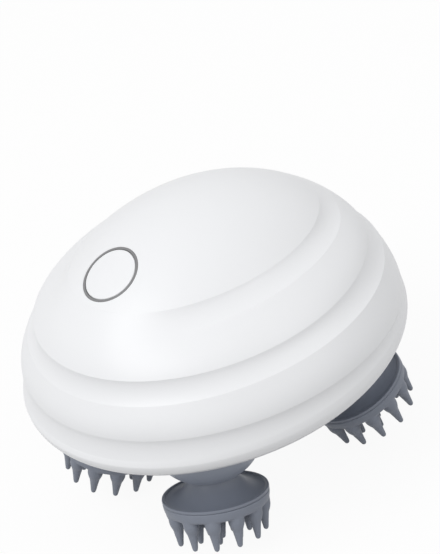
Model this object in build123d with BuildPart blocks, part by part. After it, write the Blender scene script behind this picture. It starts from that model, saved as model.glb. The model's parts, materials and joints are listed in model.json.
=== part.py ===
"""Electric scalp massager: a stepped oval case with a power button, and four tilted kneading heads.

Origin on the floor under the middle of the case, +Z up, the button end towards -Y.
"""

import os
from math import acos, atan2, cos, degrees, hypot, pi, radians, sin, sqrt, tan

from build123d import *

os.makedirs("parts", exist_ok=True)

# ---------------------------------------------------------------- driving dimensions, mm
CASE_LENGTH = 116.0
CASE_WIDTH = 108.0
CASE_HEIGHT = 52.3          # underside of the case to its crown
EDGE_RADIUS = 8.0           # where the side turns under
SEAM_HEIGHT = 3.0           # parting line above the underside
SEAM_GAP = 0.25
FLOOR_WALL = 2.2

LIP_HEIGHTS = (40.3, 28.3, 14.6)        # crisp upper edges of the three steps
SHOULDER_HEIGHTS = (35.8, 22.6, 8.3)    # soft lower edges of the steps
STEP_DEPTH = 1.3
LIP_ROUND = 0.35
SHOULDER_ROUND = 4.0
BAND_SWELL = 0.3            # how far the bands bulge past the smooth crown line
CAP_RATIO = 0.80            # width over length of the crown above the first step
CAP_INSET = 0.3             # how far the cap's oval stays inside the case's at its ends
LEDGE = ((27.0, 39.2), (35.5, 36.9))    # the hollow ledge the cap stands on: inner edge, middle
FILL_RATIO = 0.74           # the form that fills the steps at the case's two ends
FILL_INSET = (0.55, 0.4)    # inside the crown line at the ends and at the top

HEAD_DIAMETER = 30.4
HEAD_TILT = 19.0            # degrees off vertical, leaning outwards
HEAD_FOOT = (18.3, 22.8)    # where a head's axis meets the underside plane
HEAD_DROP = 21.0            # underside plane to the middle of the head's back face
HEAD_HEIGHT = 12.2          # back face to tine tips, along the axis
HEAD_GAP = 0.15             # between a head and the hub it pushes on to

TINE_RINGS = ((0.83, 12), (0.52, 8), (0.22, 4))     # ring radius over head radius, count
TINE_TIP_RADIUS = 0.75

SHAFT_RADIUS = 2.0
RUNNING_GAP = 0.05
AIR_GAP = 0.3

BUTTON_Y = -27.5
BUTTON_RADIUS = 8.25
RING_RADIUS = 9.1
RING_BORE = 8.45
BOARD_DEPTH = 11.0          # crown surface at the button down to the middle of the board

BEVEL_TEETH = 24
SPUR_MODULE = 0.5
CENTRAL_TEETH = 48
COMPOUND_PINION_TEETH = 14
COMPOUND_MODULE = 0.4
COMPOUND_TEETH = 48
MOTOR_PINION_TEETH = 12
PRESSURE_ANGLE = radians(20.0)
GEAR_PLAY = 0.16
ADDENDUM = 0.85             # tooth height over the pitch line, in modules
DEDENDUM = 1.2
FLANK_STEPS = 3

# ---------------------------------------------------------------- sizes that follow from them
HALF_LENGTH = CASE_LENGTH / 2
WIDTH_RATIO = CASE_WIDTH / CASE_LENGTH
CROWN_BASE = EDGE_RADIUS - 4.2          # height of the crown ellipse's centre
CROWN_RISE = CASE_HEIGHT - CROWN_BASE
CAP_HALF_LENGTH = HALF_LENGTH - CAP_INSET
HEAD_RADIUS = HEAD_DIAMETER / 2
TILT = radians(HEAD_TILT)
FOOT_RADIUS = hypot(*HEAD_FOOT)
APEX = FOOT_RADIUS / tan(TILT)          # where the four head axes meet, above the underside
BACK_FACE = HEAD_DROP / cos(TILT)       # along a head's axis, from the underside plane
OUTER_TINES = TINE_RINGS[0][0] * HEAD_RADIUS
STAND = (HEAD_DROP + (HEAD_HEIGHT - TINE_TIP_RADIUS) * cos(TILT)
         + OUTER_TINES * sin(TILT) + TINE_TIP_RADIUS)

HEADS = {"front_right": (1, -1), "front_left": (-1, -1), "rear_right": (1, 1), "rear_left": (-1, 1)}


def level(height):
    """Horizontal plane at a height above the underside of the case."""
    return Plane.XY.offset(STAND + height)


def upright():
    """Plane of the case's profile: x is the half-length, y the height above the underside."""
    return Plane(origin=(0, 0, STAND), x_dir=(1, 0, 0), z_dir=(0, -1, 0))


def save(builder, name):
    builder.part.label = name
    export_step(builder.part, f"parts/{name}.step")


def crown_radius(height, half_length=HALF_LENGTH, rise=CROWN_RISE):
    """Half-length of a crown ellipse at a height."""
    return half_length * sqrt(1 - ((height - CROWN_BASE) / rise) ** 2)


def crown_height(y):
    """Height of the cap along its middle line."""
    return CROWN_BASE + CROWN_RISE * sqrt(1 - (y / CAP_HALF_LENGTH) ** 2)


# ---------------------------------------------------------------- case: outer form and inner space
def step_points(lip, shoulder):
    """Bottom of the hollow between a lip and the shoulder below it."""
    (lip_r, lip_z), (edge_r, edge_z) = lip, shoulder
    run = hypot(edge_r - lip_r, edge_z - lip_z)
    inward = ((edge_z - lip_z) / run, -(edge_r - lip_r) / run)
    third_r = lip_r + (edge_r - lip_r) / 3
    third_z = lip_z + (edge_z - lip_z) / 3
    return third_r + STEP_DEPTH * inward[0], third_z + STEP_DEPTH * inward[1]


def crown_angle(height, half_length, rise):
    """Parameter of a crown ellipse at a height, in degrees."""
    reach = crown_radius(height, half_length, rise) / half_length
    return degrees(atan2((height - CROWN_BASE) / rise, reach))


def crown_arc(height, half_length, rise):
    """A crown ellipse from a height up to the axis."""
    start = crown_angle(height, half_length, rise)
    EllipticalCenterArc((0, CROWN_BASE), half_length, rise, start, arc_size=90 - start)


lips = [(crown_radius(z), z) for z in LIP_HEIGHTS]
shoulders = [(crown_radius(z), z) for z in SHOULDER_HEIGHTS]
hollows = [step_points(lip, shoulder) for lip, shoulder in zip(lips, shoulders)]
edge_centre = (HALF_LENGTH - EDGE_RADIUS, EDGE_RADIUS)
edge_side = (HALF_LENGTH, EDGE_RADIUS)
edge_middle = (edge_centre[0] + EDGE_RADIUS * cos(pi / 4), edge_centre[1] - EDGE_RADIUS * sin(pi / 4))
edge_bottom = (edge_centre[0], 0)


def edge_point(height):
    """Point of the turned-under edge at a height above the underside."""
    return edge_centre[0] + sqrt(EDGE_RADIUS ** 2 - (EDGE_RADIUS - height) ** 2), height


# the terraces: the case up to the hollow ledge that the cap stands on
with BuildPart() as terraces:
    with BuildSketch(upright()) as terrace_profile:
        with BuildLine():
            Line((0, LEDGE[0][1]), LEDGE[0])
            ThreePointArc(*LEDGE, shoulders[0])
            first_band = (SHOULDER_HEIGHTS[0] + LIP_HEIGHTS[1]) / 2
            ThreePointArc(shoulders[0], (crown_radius(first_band) + BAND_SWELL, first_band), lips[1])
            ThreePointArc(lips[1], hollows[1], shoulders[1])
            second_band = (SHOULDER_HEIGHTS[1] + LIP_HEIGHTS[2]) / 2
            ThreePointArc(shoulders[1], (crown_radius(second_band) + BAND_SWELL, second_band), lips[2])
            ThreePointArc(lips[2], hollows[2], edge_side)
            ThreePointArc(edge_side, edge_middle, edge_bottom)
            Polyline(edge_bottom, (0, 0), (0, LEDGE[0][1]))
        make_face()
        for points, radius in ((shoulders[:2], SHOULDER_ROUND), (lips[1:], LIP_ROUND)):
            for point in points:
                fillet(terrace_profile.vertices().sort_by_distance((*point, 0))[0], radius)
    revolve(axis=Axis.Z)
    scale(by=(WIDTH_RATIO, 1, 1))

# the cap: narrower than the terraces, with a crisp lip and an undercut round its foot
CAP_FOOT = 30.0
LIP_UNDERCUT = (1.6, 1.9)
cap_lip = (crown_radius(LIP_HEIGHTS[0], CAP_HALF_LENGTH), LIP_HEIGHTS[0])
cap_root = (cap_lip[0] - LIP_UNDERCUT[0], cap_lip[1] - LIP_UNDERCUT[1])
cap_hollow = (cap_lip[0] - 0.7 * LIP_UNDERCUT[0], cap_lip[1] - 0.4 * LIP_UNDERCUT[1])

with BuildPart() as crown_cap:
    with BuildSketch(upright()) as cap_profile:
        with BuildLine():
            crown_arc(LIP_HEIGHTS[0], CAP_HALF_LENGTH, CROWN_RISE)
            ThreePointArc(cap_lip, cap_hollow, cap_root)
            Polyline(cap_root, (cap_root[0], CAP_FOOT), (0, CAP_FOOT), (0, CASE_HEIGHT))
        make_face()
        fillet(cap_profile.vertices().sort_by_distance((*cap_lip, 0))[0], LIP_ROUND)
    revolve(axis=Axis.Z)
    scale(by=(CAP_RATIO, 1, 1))

# the fill: a smooth narrow dome that lets the steps run out towards the two ends
FILL_START = 12.0
FILL_FOOT = (6.0, 4.0)
fill_half_length = HALF_LENGTH - FILL_INSET[0]
fill_rise = CROWN_RISE - FILL_INSET[1]
fill_side = (crown_radius(FILL_START, fill_half_length, fill_rise), FILL_START)
fill_bottom = (fill_side[0] - FILL_FOOT[0], FILL_START - FILL_FOOT[1])

with BuildPart() as end_fill:
    with BuildSketch(upright()):
        with BuildLine():
            crown_arc(FILL_START, fill_half_length, fill_rise)
            Polyline(fill_side, fill_bottom, (0, fill_bottom[1]), (0, CROWN_BASE + fill_rise))
        make_face()
    revolve(axis=Axis.Z)
    scale(by=(FILL_RATIO, 1, 1))

with BuildPart() as case_form:
    add(terraces.part)
    add(crown_cap.part)
    add(end_fill.part)

# the inner space: a wide one below the ledge and a narrower one under the cap
VOID_HALF_LENGTH = 53.3
VOID_SPRING = 10.0          # height where the inner wall starts to lean in
VOID_TOP = 48.7
VOID_LEDGE = 34.0           # ceiling of the wide space
CAP_VOID_HALF_LENGTH = 52.6
BOSS_ROOT = 0.6             # how far a boss runs into the wall over it
COVER_FLOOR = VOID_HALF_LENGTH - 1.6    # half-length of the cover's dished inside
cover_edge = SEAM_HEIGHT - SEAM_GAP


def inner_dome(half_length, ceiling, ratio, grow=0.0):
    """Space inside the case, from the seam to a ceiling, under an elliptical dome."""
    rise = VOID_TOP - VOID_SPRING + grow
    side = half_length + grow
    reach = side * sqrt(1 - ((ceiling - VOID_SPRING) / rise) ** 2)
    sweep = degrees(atan2((ceiling - VOID_SPRING) / rise, reach / side))
    with BuildPart() as dome:
        with BuildSketch(upright()):
            with BuildLine():
                EllipticalCenterArc((0, VOID_SPRING), side, rise, 0, arc_size=sweep)
                Polyline((side, VOID_SPRING), (side, 0), (0, 0), (0, ceiling))
                if reach > 0:
                    Line((0, ceiling), (reach, ceiling))
            make_face()
        revolve(axis=Axis.Z)
        scale(by=(ratio, 1, 1))
    return dome.part


wide_space = inner_dome(VOID_HALF_LENGTH, VOID_LEDGE, WIDTH_RATIO)
cap_space = inner_dome(CAP_VOID_HALF_LENGTH, VOID_TOP, CAP_RATIO)

with BuildPart() as shell_form:
    add(case_form.part)
    add(wide_space, mode=Mode.SUBTRACT)
    add(cap_space, mode=Mode.SUBTRACT)
    split(bisect_by=level(SEAM_HEIGHT), keep=Keep.TOP)

with BuildPart() as cover_form:
    with BuildSketch(upright()):
        with BuildLine():
            ThreePointArc(edge_point(cover_edge), edge_point(cover_edge / 2), edge_bottom)
            Polyline(edge_bottom, (0, 0), (0, FLOOR_WALL), (COVER_FLOOR, FLOOR_WALL),
                     (COVER_FLOOR, cover_edge), edge_point(cover_edge))
        make_face()
    revolve(axis=Axis.Z)
    scale(by=(WIDTH_RATIO, 1, 1))

# ---------------------------------------------------------------- power button
button_top = Vector(0, BUTTON_Y, STAND + crown_height(BUTTON_Y))
button_out = Vector(0, BUTTON_Y / CAP_HALF_LENGTH ** 2,
                    (crown_height(BUTTON_Y) - CROWN_BASE) / CROWN_RISE ** 2).normalized()


def button_plane(depth):
    """Plane across the button's axis, at a depth below the crown, facing out."""
    return Plane(origin=button_top - button_out * depth, x_dir=(1, 0, 0), z_dir=button_out)


RING_DEPTH = 4.6
FLANGE_DEPTH = 4.9
FLANGE_THICKNESS = 0.8
FLANGE_RADIUS = 9.0
SWITCH_TOP = 7.5
PLUNGER_TOP = 6.9
PLUNGER_RADIUS = 1.4
PLUNGER_LENGTH = 1.2
PROUD = 3.0                 # how far cutting tools reach past the surface

with BuildPart() as power_button:
    with BuildSketch(button_plane(FLANGE_DEPTH)):
        Circle(BUTTON_RADIUS)
    extrude(amount=FLANGE_DEPTH + PROUD)
    add(case_form.part, mode=Mode.INTERSECT)
    with BuildSketch(button_plane(FLANGE_DEPTH)):
        Circle(FLANGE_RADIUS)
    extrude(amount=-FLANGE_THICKNESS)
    with BuildSketch(button_plane(PLUNGER_TOP)):
        Circle(PLUNGER_RADIUS)
    extrude(amount=PLUNGER_TOP - FLANGE_DEPTH - FLANGE_THICKNESS)
save(power_button, "power_button")

with BuildPart() as button_ring:
    with BuildSketch(button_plane(RING_DEPTH)):
        Circle(RING_RADIUS)
        Circle(RING_BORE, mode=Mode.SUBTRACT)
    extrude(amount=RING_DEPTH + PROUD)
    add(case_form.part, mode=Mode.INTERSECT)
save(button_ring, "button_ring")

with BuildPart() as switch_plunger:
    with BuildSketch(button_plane(PLUNGER_TOP)):
        Circle(PLUNGER_RADIUS)
    extrude(amount=-PLUNGER_LENGTH)
save(switch_plunger, "switch_plunger")

# ---------------------------------------------------------------- circuit board
BOARD_THICKNESS = 1.2
BOARD_SIZE = (40.0, 22.0)
BOARD_CORNER = 2.0
BOARD_HOLES = (32.0, 14.0)
POST_RADIUS = 2.2
POST_LENGTH = 4.8
SCREW_RADIUS = 0.9
SCREW_HEAD_RADIUS = 1.7
SCREW_HEAD_THICKNESS = 1.2
SCREW_BITE = 3.0            # how far a board screw runs into its post
HOLE_PLAY = 0.1
SWITCH_SIZE = 6.0
SWITCH_CORNER = 0.4
SWITCH_BORE_DEPTH = 2.0
CHIP_HEIGHT = 1.6
CHIPS = {(7, 7): [(-8, 2)], (5, 4): [(6, -3), (6, 4)], (4, 3): [(12.5, 0), (-15.5, -1)]}    # size: places
board_top = BOARD_DEPTH - BOARD_THICKNESS / 2
board_bottom = BOARD_DEPTH + BOARD_THICKNESS / 2

with BuildPart() as circuit_board:
    with BuildSketch(button_plane(board_bottom)):
        RectangleRounded(*BOARD_SIZE, BOARD_CORNER)
        with GridLocations(*BOARD_HOLES, 2, 2):
            Circle(SCREW_RADIUS + HOLE_PLAY, mode=Mode.SUBTRACT)
    extrude(amount=BOARD_THICKNESS)
save(circuit_board, "circuit_board")

with BuildPart() as tact_switch:
    with BuildSketch(button_plane(board_top)):
        RectangleRounded(SWITCH_SIZE, SWITCH_SIZE, SWITCH_CORNER)
    extrude(amount=board_top - SWITCH_TOP)
    with BuildSketch(button_plane(SWITCH_TOP)):
        Circle(PLUNGER_RADIUS + RUNNING_GAP)
    extrude(amount=-SWITCH_BORE_DEPTH, mode=Mode.SUBTRACT)
save(tact_switch, "tact_switch")

with BuildPart() as board_chips:
    with BuildSketch(button_plane(board_bottom)):
        for size, places in CHIPS.items():
            with Locations(*places):
                Rectangle(*size)
    extrude(amount=-CHIP_HEIGHT)
save(board_chips, "board_chips")

with BuildPart() as board_screws:
    with BuildSketch(button_plane(board_bottom)):
        with GridLocations(*BOARD_HOLES, 2, 2):
            Circle(SCREW_HEAD_RADIUS)
    extrude(amount=-SCREW_HEAD_THICKNESS)
    with BuildSketch(button_plane(board_bottom)):
        with GridLocations(*BOARD_HOLES, 2, 2):
            Circle(SCREW_RADIUS)
    extrude(amount=BOARD_THICKNESS + SCREW_BITE)
save(board_screws, "board_screws")

# ---------------------------------------------------------------- charging port in the rear
PORT_HEIGHT = 8.0
PORT_OPENING = (9.6, 3.8)
PORT_SHELL = (9.0, 3.2)
PLUG_FLANGE = (15.0, 6.6)
PLUG_THICKNESS = 1.6
PLUG_STEM = (7.6, 2.0)
PLUG_STEM_LENGTH = 4.0
RECEPTACLE_LENGTH = 7.4
RECEPTACLE_WALL = 0.3
RECEPTACLE_BACK = 1.2
RECEPTACLE_SETBACK = 1.0    # behind the plug's recess
SLOT_FLAT = 0.05            # what is left straight at a slot's rounded ends
FIT_GAP = 0.15
port_face_y = HALF_LENGTH - PLUG_THICKNESS - FIT_GAP


def rear_plane(y):
    """Plane across the charging port, facing the rear."""
    return Plane(origin=(0, y, STAND + PORT_HEIGHT), x_dir=(-1, 0, 0), z_dir=(0, 1, 0))


def rounded_slot(size, grow=0.0):
    width, height = size[0] + 2 * grow, size[1] + 2 * grow
    return RectangleRounded(width, height, height / 2 - SLOT_FLAT)


with BuildPart() as port_plug:
    with BuildSketch(rear_plane(port_face_y + FIT_GAP)):
        rounded_slot(PLUG_FLANGE)
    extrude(amount=PLUG_THICKNESS + PROUD)
    add(case_form.part, mode=Mode.INTERSECT)
    with BuildSketch(rear_plane(port_face_y + FIT_GAP)):
        rounded_slot(PLUG_STEM)
    extrude(amount=-PLUG_STEM_LENGTH)
save(port_plug, "port_plug")

receptacle_front = port_face_y - RECEPTACLE_SETBACK
with BuildPart() as charge_socket:
    with BuildSketch(rear_plane(receptacle_front)):
        rounded_slot(PORT_SHELL)
    extrude(amount=-RECEPTACLE_LENGTH)
    with BuildSketch(rear_plane(receptacle_front)):
        rounded_slot(PORT_SHELL, -RECEPTACLE_WALL)
    extrude(amount=RECEPTACLE_BACK - RECEPTACLE_LENGTH, mode=Mode.SUBTRACT)
save(charge_socket, "charge_socket")

CHARGE_BOARD = (16.0, 9.0, 1.2)
CHARGE_BOARD_SETBACK = 3.0  # behind the receptacle's front
charge_board_top = PORT_HEIGHT - PORT_SHELL[1] / 2
charge_board_y = receptacle_front - CHARGE_BOARD_SETBACK - CHARGE_BOARD[1] / 2
with BuildPart() as charge_board:
    with BuildSketch(level(charge_board_top)):
        with Locations((0, charge_board_y)):
            Rectangle(*CHARGE_BOARD[:2])
    extrude(amount=-CHARGE_BOARD[2])
save(charge_board, "charge_board")

# ---------------------------------------------------------------- case shells
CASE_SCREWS = (38.0, 24.0)
BOSS_RADIUS = 3.2
CASE_SCREW_RADIUS = 1.2
CASE_SCREW_HEAD = 2.4
CASE_SCREW_LENGTH = 14.0
CASE_SCREW_RUN_OUT = 1.0    # depth of the pilot hole past the screw's end
SCREW_HEAD_HEIGHT = 1.2
CLEARANCE = 0.2             # round screws and their heads
GASKET_HEIGHT = 0.8
GASKET_WIDTH = 1.4
GASKET_RADIUS = 54.6        # half-length of its outer edge
GROOVE_PLAY = 0.1


def oval(half_length):
    return Ellipse(half_length * WIDTH_RATIO, half_length)


def oval_bore(half_length):
    return Ellipse(half_length * WIDTH_RATIO, half_length, mode=Mode.SUBTRACT)


with BuildPart() as screw_bosses:
    add(inner_dome(VOID_HALF_LENGTH, VOID_LEDGE, WIDTH_RATIO, BOSS_ROOT))
    split(bisect_by=level(SEAM_HEIGHT + AIR_GAP), keep=Keep.TOP)
    with BuildSketch(level(SEAM_HEIGHT)):
        with GridLocations(2 * CASE_SCREWS[0], 2 * CASE_SCREWS[1], 2, 2):
            Circle(BOSS_RADIUS)
    extrude(amount=CASE_HEIGHT, mode=Mode.INTERSECT)

with BuildPart() as top_shell:
    add(shell_form.part)
    add(screw_bosses.part)
    with BuildSketch(level(0)):
        with GridLocations(2 * CASE_SCREWS[0], 2 * CASE_SCREWS[1], 2, 2):
            Circle(CASE_SCREW_RADIUS)
    extrude(amount=CASE_SCREW_LENGTH + CASE_SCREW_RUN_OUT, mode=Mode.SUBTRACT)
    with BuildSketch(button_plane(board_top)):
        with GridLocations(*BOARD_HOLES, 2, 2):
            Circle(POST_RADIUS)
    extrude(amount=POST_LENGTH)
    with BuildSketch(button_plane(board_top)):
        with GridLocations(*BOARD_HOLES, 2, 2):
            Circle(SCREW_RADIUS)
    extrude(amount=SCREW_BITE, mode=Mode.SUBTRACT)
    with BuildSketch(button_plane(RING_DEPTH + PROUD)):
        Circle(RING_RADIUS)
    extrude(amount=RING_DEPTH + 2 * PROUD, mode=Mode.SUBTRACT)
    with BuildSketch(rear_plane(port_face_y)):
        rounded_slot(PLUG_FLANGE, FIT_GAP)
    extrude(amount=PLUG_THICKNESS + PROUD, mode=Mode.SUBTRACT)
    with BuildSketch(rear_plane(VOID_HALF_LENGTH - PROUD)):
        rounded_slot(PORT_OPENING)
    extrude(amount=HALF_LENGTH - VOID_HALF_LENGTH + 2 * PROUD, mode=Mode.SUBTRACT)
save(top_shell, "top_shell")


# ---------------------------------------------------------------- head axes
class HeadAxis:
    """One head's leaning axis; distances run down it from the underside plane."""

    def __init__(self, side, end):
        spread = atan2(end * HEAD_FOOT[1], side * HEAD_FOOT[0])
        outward = Vector(cos(spread), sin(spread), 0)
        self.azimuth = degrees(spread)
        self.foot = Vector(side * HEAD_FOOT[0], end * HEAD_FOOT[1], STAND)
        self.down = outward * sin(TILT) - Vector(0, 0, cos(TILT))
        self.inward = outward * -cos(TILT) - Vector(0, 0, sin(TILT))
        self.axis = Axis(self.foot, self.down)

    def along(self):
        """Plane of a turned profile: x is the radius, y the distance down the axis."""
        return Plane(origin=self.foot, x_dir=self.inward, z_dir=self.inward.cross(self.down))

    def across(self, distance):
        """Plane square to the axis, facing down it, its x towards the middle of the case."""
        return Plane(origin=self.foot + self.down * distance, x_dir=self.inward, z_dir=self.down)


head_axes = {name: HeadAxis(side, end) for name, (side, end) in HEADS.items()}

# along a head's axis, from the underside plane
SOCKET_END = 7.0
SOCKET_RADIUS = 6.0
SEAL_TOP = 3.4
SEAL_RADIUS = 4.2
SHAFT_END = 17.5
SHAFT_CLEARANCE = 0.4       # round the shaft in the cover's socket
SEAL_SETBACK = 0.4          # inside the socket's mouth
STEM_TOP = 7.6
STEM_RADIUS = 6.6
NECK_RADIUS = 7.2
CUP_LIP = BACK_FACE - 5.9
CUP_LIP_RADIUS = 8.5
CUP_RADIUS = 16.0
CUP_WALL = 1.5

# ---------------------------------------------------------------- gearbox layout
GEARBOX_FLOOR = 2.6
GEARBOX_FLOOR_TOP = 4.2
GEARBOX_COVER = 19.2
GEARBOX_TOP = 21.2
GEARBOX_INSIDE = (62.0, 69.2)
GEARBOX_WALL = 1.6
GEARBOX_CORNER = 14.0
GEARBOX_COLUMNS = ((35.4, 0), (-35.4, 0), (0, 39.0), (0, -39.0))
COLUMN_RADIUS = 3.0
GEARBOX_SCREW_RADIUS = 1.1
CENTRAL_BEVEL_HEIGHT = 7.5
BEVEL_FACE = 5.0
CENTRAL_SPUR_HEIGHT = 11.4
SPUR_FACE = 2.6
COMPOUND_WHEEL_HEIGHT = 14.6
COMPOUND_FACE = 2.2
AXLE_RADIUS = 1.5
THIN_AXLE_RADIUS = 1.0
MOTOR_ANGLE = -50.0         # direction of the motor from the compound gear
bevel_reach = APEX - CENTRAL_BEVEL_HEIGHT       # from the meeting point of the axes to a bevel's middle
bevel_pitch_radius = bevel_reach * tan(TILT / 2)
bevel_module = 2 * bevel_pitch_radius / BEVEL_TEETH
gear_along = bevel_reach - FOOT_RADIUS / sin(TILT)      # an output gear's middle, down its axis
compound_y = SPUR_MODULE * (CENTRAL_TEETH + COMPOUND_PINION_TEETH) / 2
motor_distance = COMPOUND_MODULE * (COMPOUND_TEETH + MOTOR_PINION_TEETH) / 2
motor_x = motor_distance * cos(radians(MOTOR_ANGLE))
motor_y = compound_y + motor_distance * sin(radians(MOTOR_ANGLE))
BUSH_TOP = -8.5
BUSH_END = -3.4
BUSH_RADIUS = 3.5
BUSH_BOSS = 5.5
MOTOR_BOSS = 3.0
MOTOR_SCREW_OFFSET = 8.5


def gearbox_outline(grow=0.0):
    width, length = GEARBOX_INSIDE
    return RectangleRounded(width + 2 * grow, length + 2 * grow, GEARBOX_CORNER + grow)


def post(plane, places, radius, length, mode=Mode.ADD):
    """Round posts, or holes, from a plane, in the part that is open."""
    with BuildSketch(plane) as ends:
        with Locations(*places):
            Circle(radius)
    extrude(ends.sketch, amount=length, mode=mode)


case_screw_places = [(x * CASE_SCREWS[0], y * CASE_SCREWS[1]) for x in (1, -1) for y in (1, -1)]

# ---------------------------------------------------------------- bottom cover and its seal
CHARGE_POST_RADIUS = 1.5
COVER_SKIN = 1.0            # what is left of the floor under a gearbox screw's hole
charge_posts = [(6.0, charge_board_y), (-6.0, charge_board_y)]
charge_board_bottom = charge_board_top - CHARGE_BOARD[2]

with BuildPart() as bottom_cover:
    add(cover_form.part)
    with BuildSketch(level(SEAM_HEIGHT - GASKET_HEIGHT)):
        oval(GASKET_RADIUS + GROOVE_PLAY)
        oval_bore(GASKET_RADIUS - GASKET_WIDTH - GROOVE_PLAY)
    extrude(amount=GASKET_HEIGHT, mode=Mode.SUBTRACT)
    post(level(FLOOR_WALL), case_screw_places, BOSS_RADIUS, SEAM_HEIGHT - FLOOR_WALL)
    post(level(FLOOR_WALL), GEARBOX_COLUMNS, COLUMN_RADIUS, GEARBOX_FLOOR - FLOOR_WALL)
    post(level(FLOOR_WALL), charge_posts, CHARGE_POST_RADIUS, charge_board_bottom - FLOOR_WALL)
    post(level(0), case_screw_places, CASE_SCREW_RADIUS + CLEARANCE, SEAM_HEIGHT, Mode.SUBTRACT)
    post(level(0), case_screw_places, CASE_SCREW_HEAD + CLEARANCE, SCREW_HEAD_HEIGHT + CLEARANCE,
         Mode.SUBTRACT)
    post(level(COVER_SKIN), GEARBOX_COLUMNS, GEARBOX_SCREW_RADIUS, GEARBOX_FLOOR, Mode.SUBTRACT)
    for head in head_axes.values():
        with BuildSketch(head.across(0)):
            Circle(SOCKET_RADIUS)
        extrude(amount=SOCKET_END)
    for head in head_axes.values():
        with BuildSketch(head.across(-SOCKET_END)):
            Circle(SHAFT_RADIUS + SHAFT_CLEARANCE)
        extrude(amount=3 * SOCKET_END, mode=Mode.SUBTRACT)
        with BuildSketch(head.across(SEAL_TOP)):
            Circle(SEAL_RADIUS)
        extrude(amount=SOCKET_END, mode=Mode.SUBTRACT)
save(bottom_cover, "bottom_cover")

with BuildPart() as case_gasket:
    with BuildSketch(level(SEAM_HEIGHT - GASKET_HEIGHT)):
        oval(GASKET_RADIUS)
        oval_bore(GASKET_RADIUS - GASKET_WIDTH)
    extrude(amount=GASKET_HEIGHT)
save(case_gasket, "case_gasket")

with BuildPart() as case_screws:
    post(level(CLEARANCE), case_screw_places, CASE_SCREW_HEAD, SCREW_HEAD_HEIGHT)
    post(level(CLEARANCE), case_screw_places, CASE_SCREW_RADIUS, CASE_SCREW_LENGTH)
save(case_screws, "case_screws")


# ---------------------------------------------------------------- gears
def involute(angle):
    return tan(angle) - angle


def gear_points(teeth, module, turn=0.0, scale_by=1.0):
    """Corners of an involute gear outline with a tooth centred on the angle turn, in degrees."""
    pitch = teeth * module / 2
    base = pitch * cos(PRESSURE_ANGLE)
    tip = pitch + ADDENDUM * module
    root = pitch - DEDENDUM * module
    half_at_base = pi / (2 * teeth) - GEAR_PLAY / (2 * pitch) + involute(PRESSURE_ANGLE)
    flank_start = max(base, root)
    flank = [flank_start + (tip - flank_start) * step / FLANK_STEPS for step in range(FLANK_STEPS + 1)]
    sides = [(radius, half_at_base - involute(acos(base / radius))) for radius in flank]
    sides = [(root, sides[0][1])] + sides if root < base else sides
    outline = []
    for tooth in range(teeth):
        middle = radians(turn) + 2 * pi * tooth / teeth
        for radius, half in sides:
            outline.append((radius, middle - half))
        for radius, half in reversed(sides):
            outline.append((radius, middle + half))
    return [(scale_by * radius * cos(angle), scale_by * radius * sin(angle)) for radius, angle in outline]


def gear_face(plane, points):
    with BuildSketch(plane) as face:
        with BuildLine():
            Polyline(*points, close=True)
        make_face()
    return face.sketch


def bevel_teeth(near_plane, far_plane, turn, shrink):
    """Bevel gear teeth between two planes square to its axis; the far end is the smaller."""
    large = gear_face(near_plane, gear_points(BEVEL_TEETH, bevel_module, turn, 1 + shrink))
    small = gear_face(far_plane, gear_points(BEVEL_TEETH, bevel_module, turn, 1 - shrink))
    loft([large, small], ruled=True)


def place(x, y, height):
    """Horizontal plane centred on a vertical axle."""
    return Plane(origin=(x, y, STAND + height))


bevel_shrink = BEVEL_FACE / 2 / bevel_reach
CENTRAL_HUB = 7.0
AXLE_SETBACK = 0.8          # an axle's top below the face of the gearbox cover
AXLE_SEAT = 1.6             # depth of an axle's seat in the gearbox floor

with BuildPart() as central_gear:
    bevel_teeth(level(CENTRAL_BEVEL_HEIGHT - BEVEL_FACE / 2), level(CENTRAL_BEVEL_HEIGHT + BEVEL_FACE / 2),
                0, bevel_shrink)
    post(level(CENTRAL_BEVEL_HEIGHT + BEVEL_FACE / 2), [(0, 0)], CENTRAL_HUB,
         CENTRAL_SPUR_HEIGHT - CENTRAL_BEVEL_HEIGHT - BEVEL_FACE / 2)
    extrude(gear_face(level(CENTRAL_SPUR_HEIGHT), gear_points(CENTRAL_TEETH, SPUR_MODULE)), amount=SPUR_FACE)
    post(level(0), [(0, 0)], AXLE_RADIUS + RUNNING_GAP, GEARBOX_COVER, Mode.SUBTRACT)
save(central_gear, "central_gear")

with BuildPart() as central_axle:
    post(level(GEARBOX_FLOOR), [(0, 0)], AXLE_RADIUS, GEARBOX_TOP - GEARBOX_FLOOR - AXLE_SETBACK)
save(central_axle, "central_axle")

with BuildPart() as compound_gear:
    pinion = gear_points(COMPOUND_PINION_TEETH, SPUR_MODULE, -90 + 180 / COMPOUND_PINION_TEETH)
    wheel = gear_points(COMPOUND_TEETH, COMPOUND_MODULE, MOTOR_ANGLE)
    extrude(gear_face(place(0, compound_y, CENTRAL_SPUR_HEIGHT), pinion),
            amount=COMPOUND_WHEEL_HEIGHT - CENTRAL_SPUR_HEIGHT)
    extrude(gear_face(place(0, compound_y, COMPOUND_WHEEL_HEIGHT), wheel), amount=COMPOUND_FACE)
    post(level(0), [(0, compound_y)], THIN_AXLE_RADIUS + RUNNING_GAP, GEARBOX_COVER, Mode.SUBTRACT)
save(compound_gear, "compound_gear")

with BuildPart() as compound_axle:
    post(level(GEARBOX_FLOOR), [(0, compound_y)], THIN_AXLE_RADIUS,
         GEARBOX_TOP - GEARBOX_FLOOR - AXLE_SETBACK)
save(compound_axle, "compound_axle")

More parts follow.
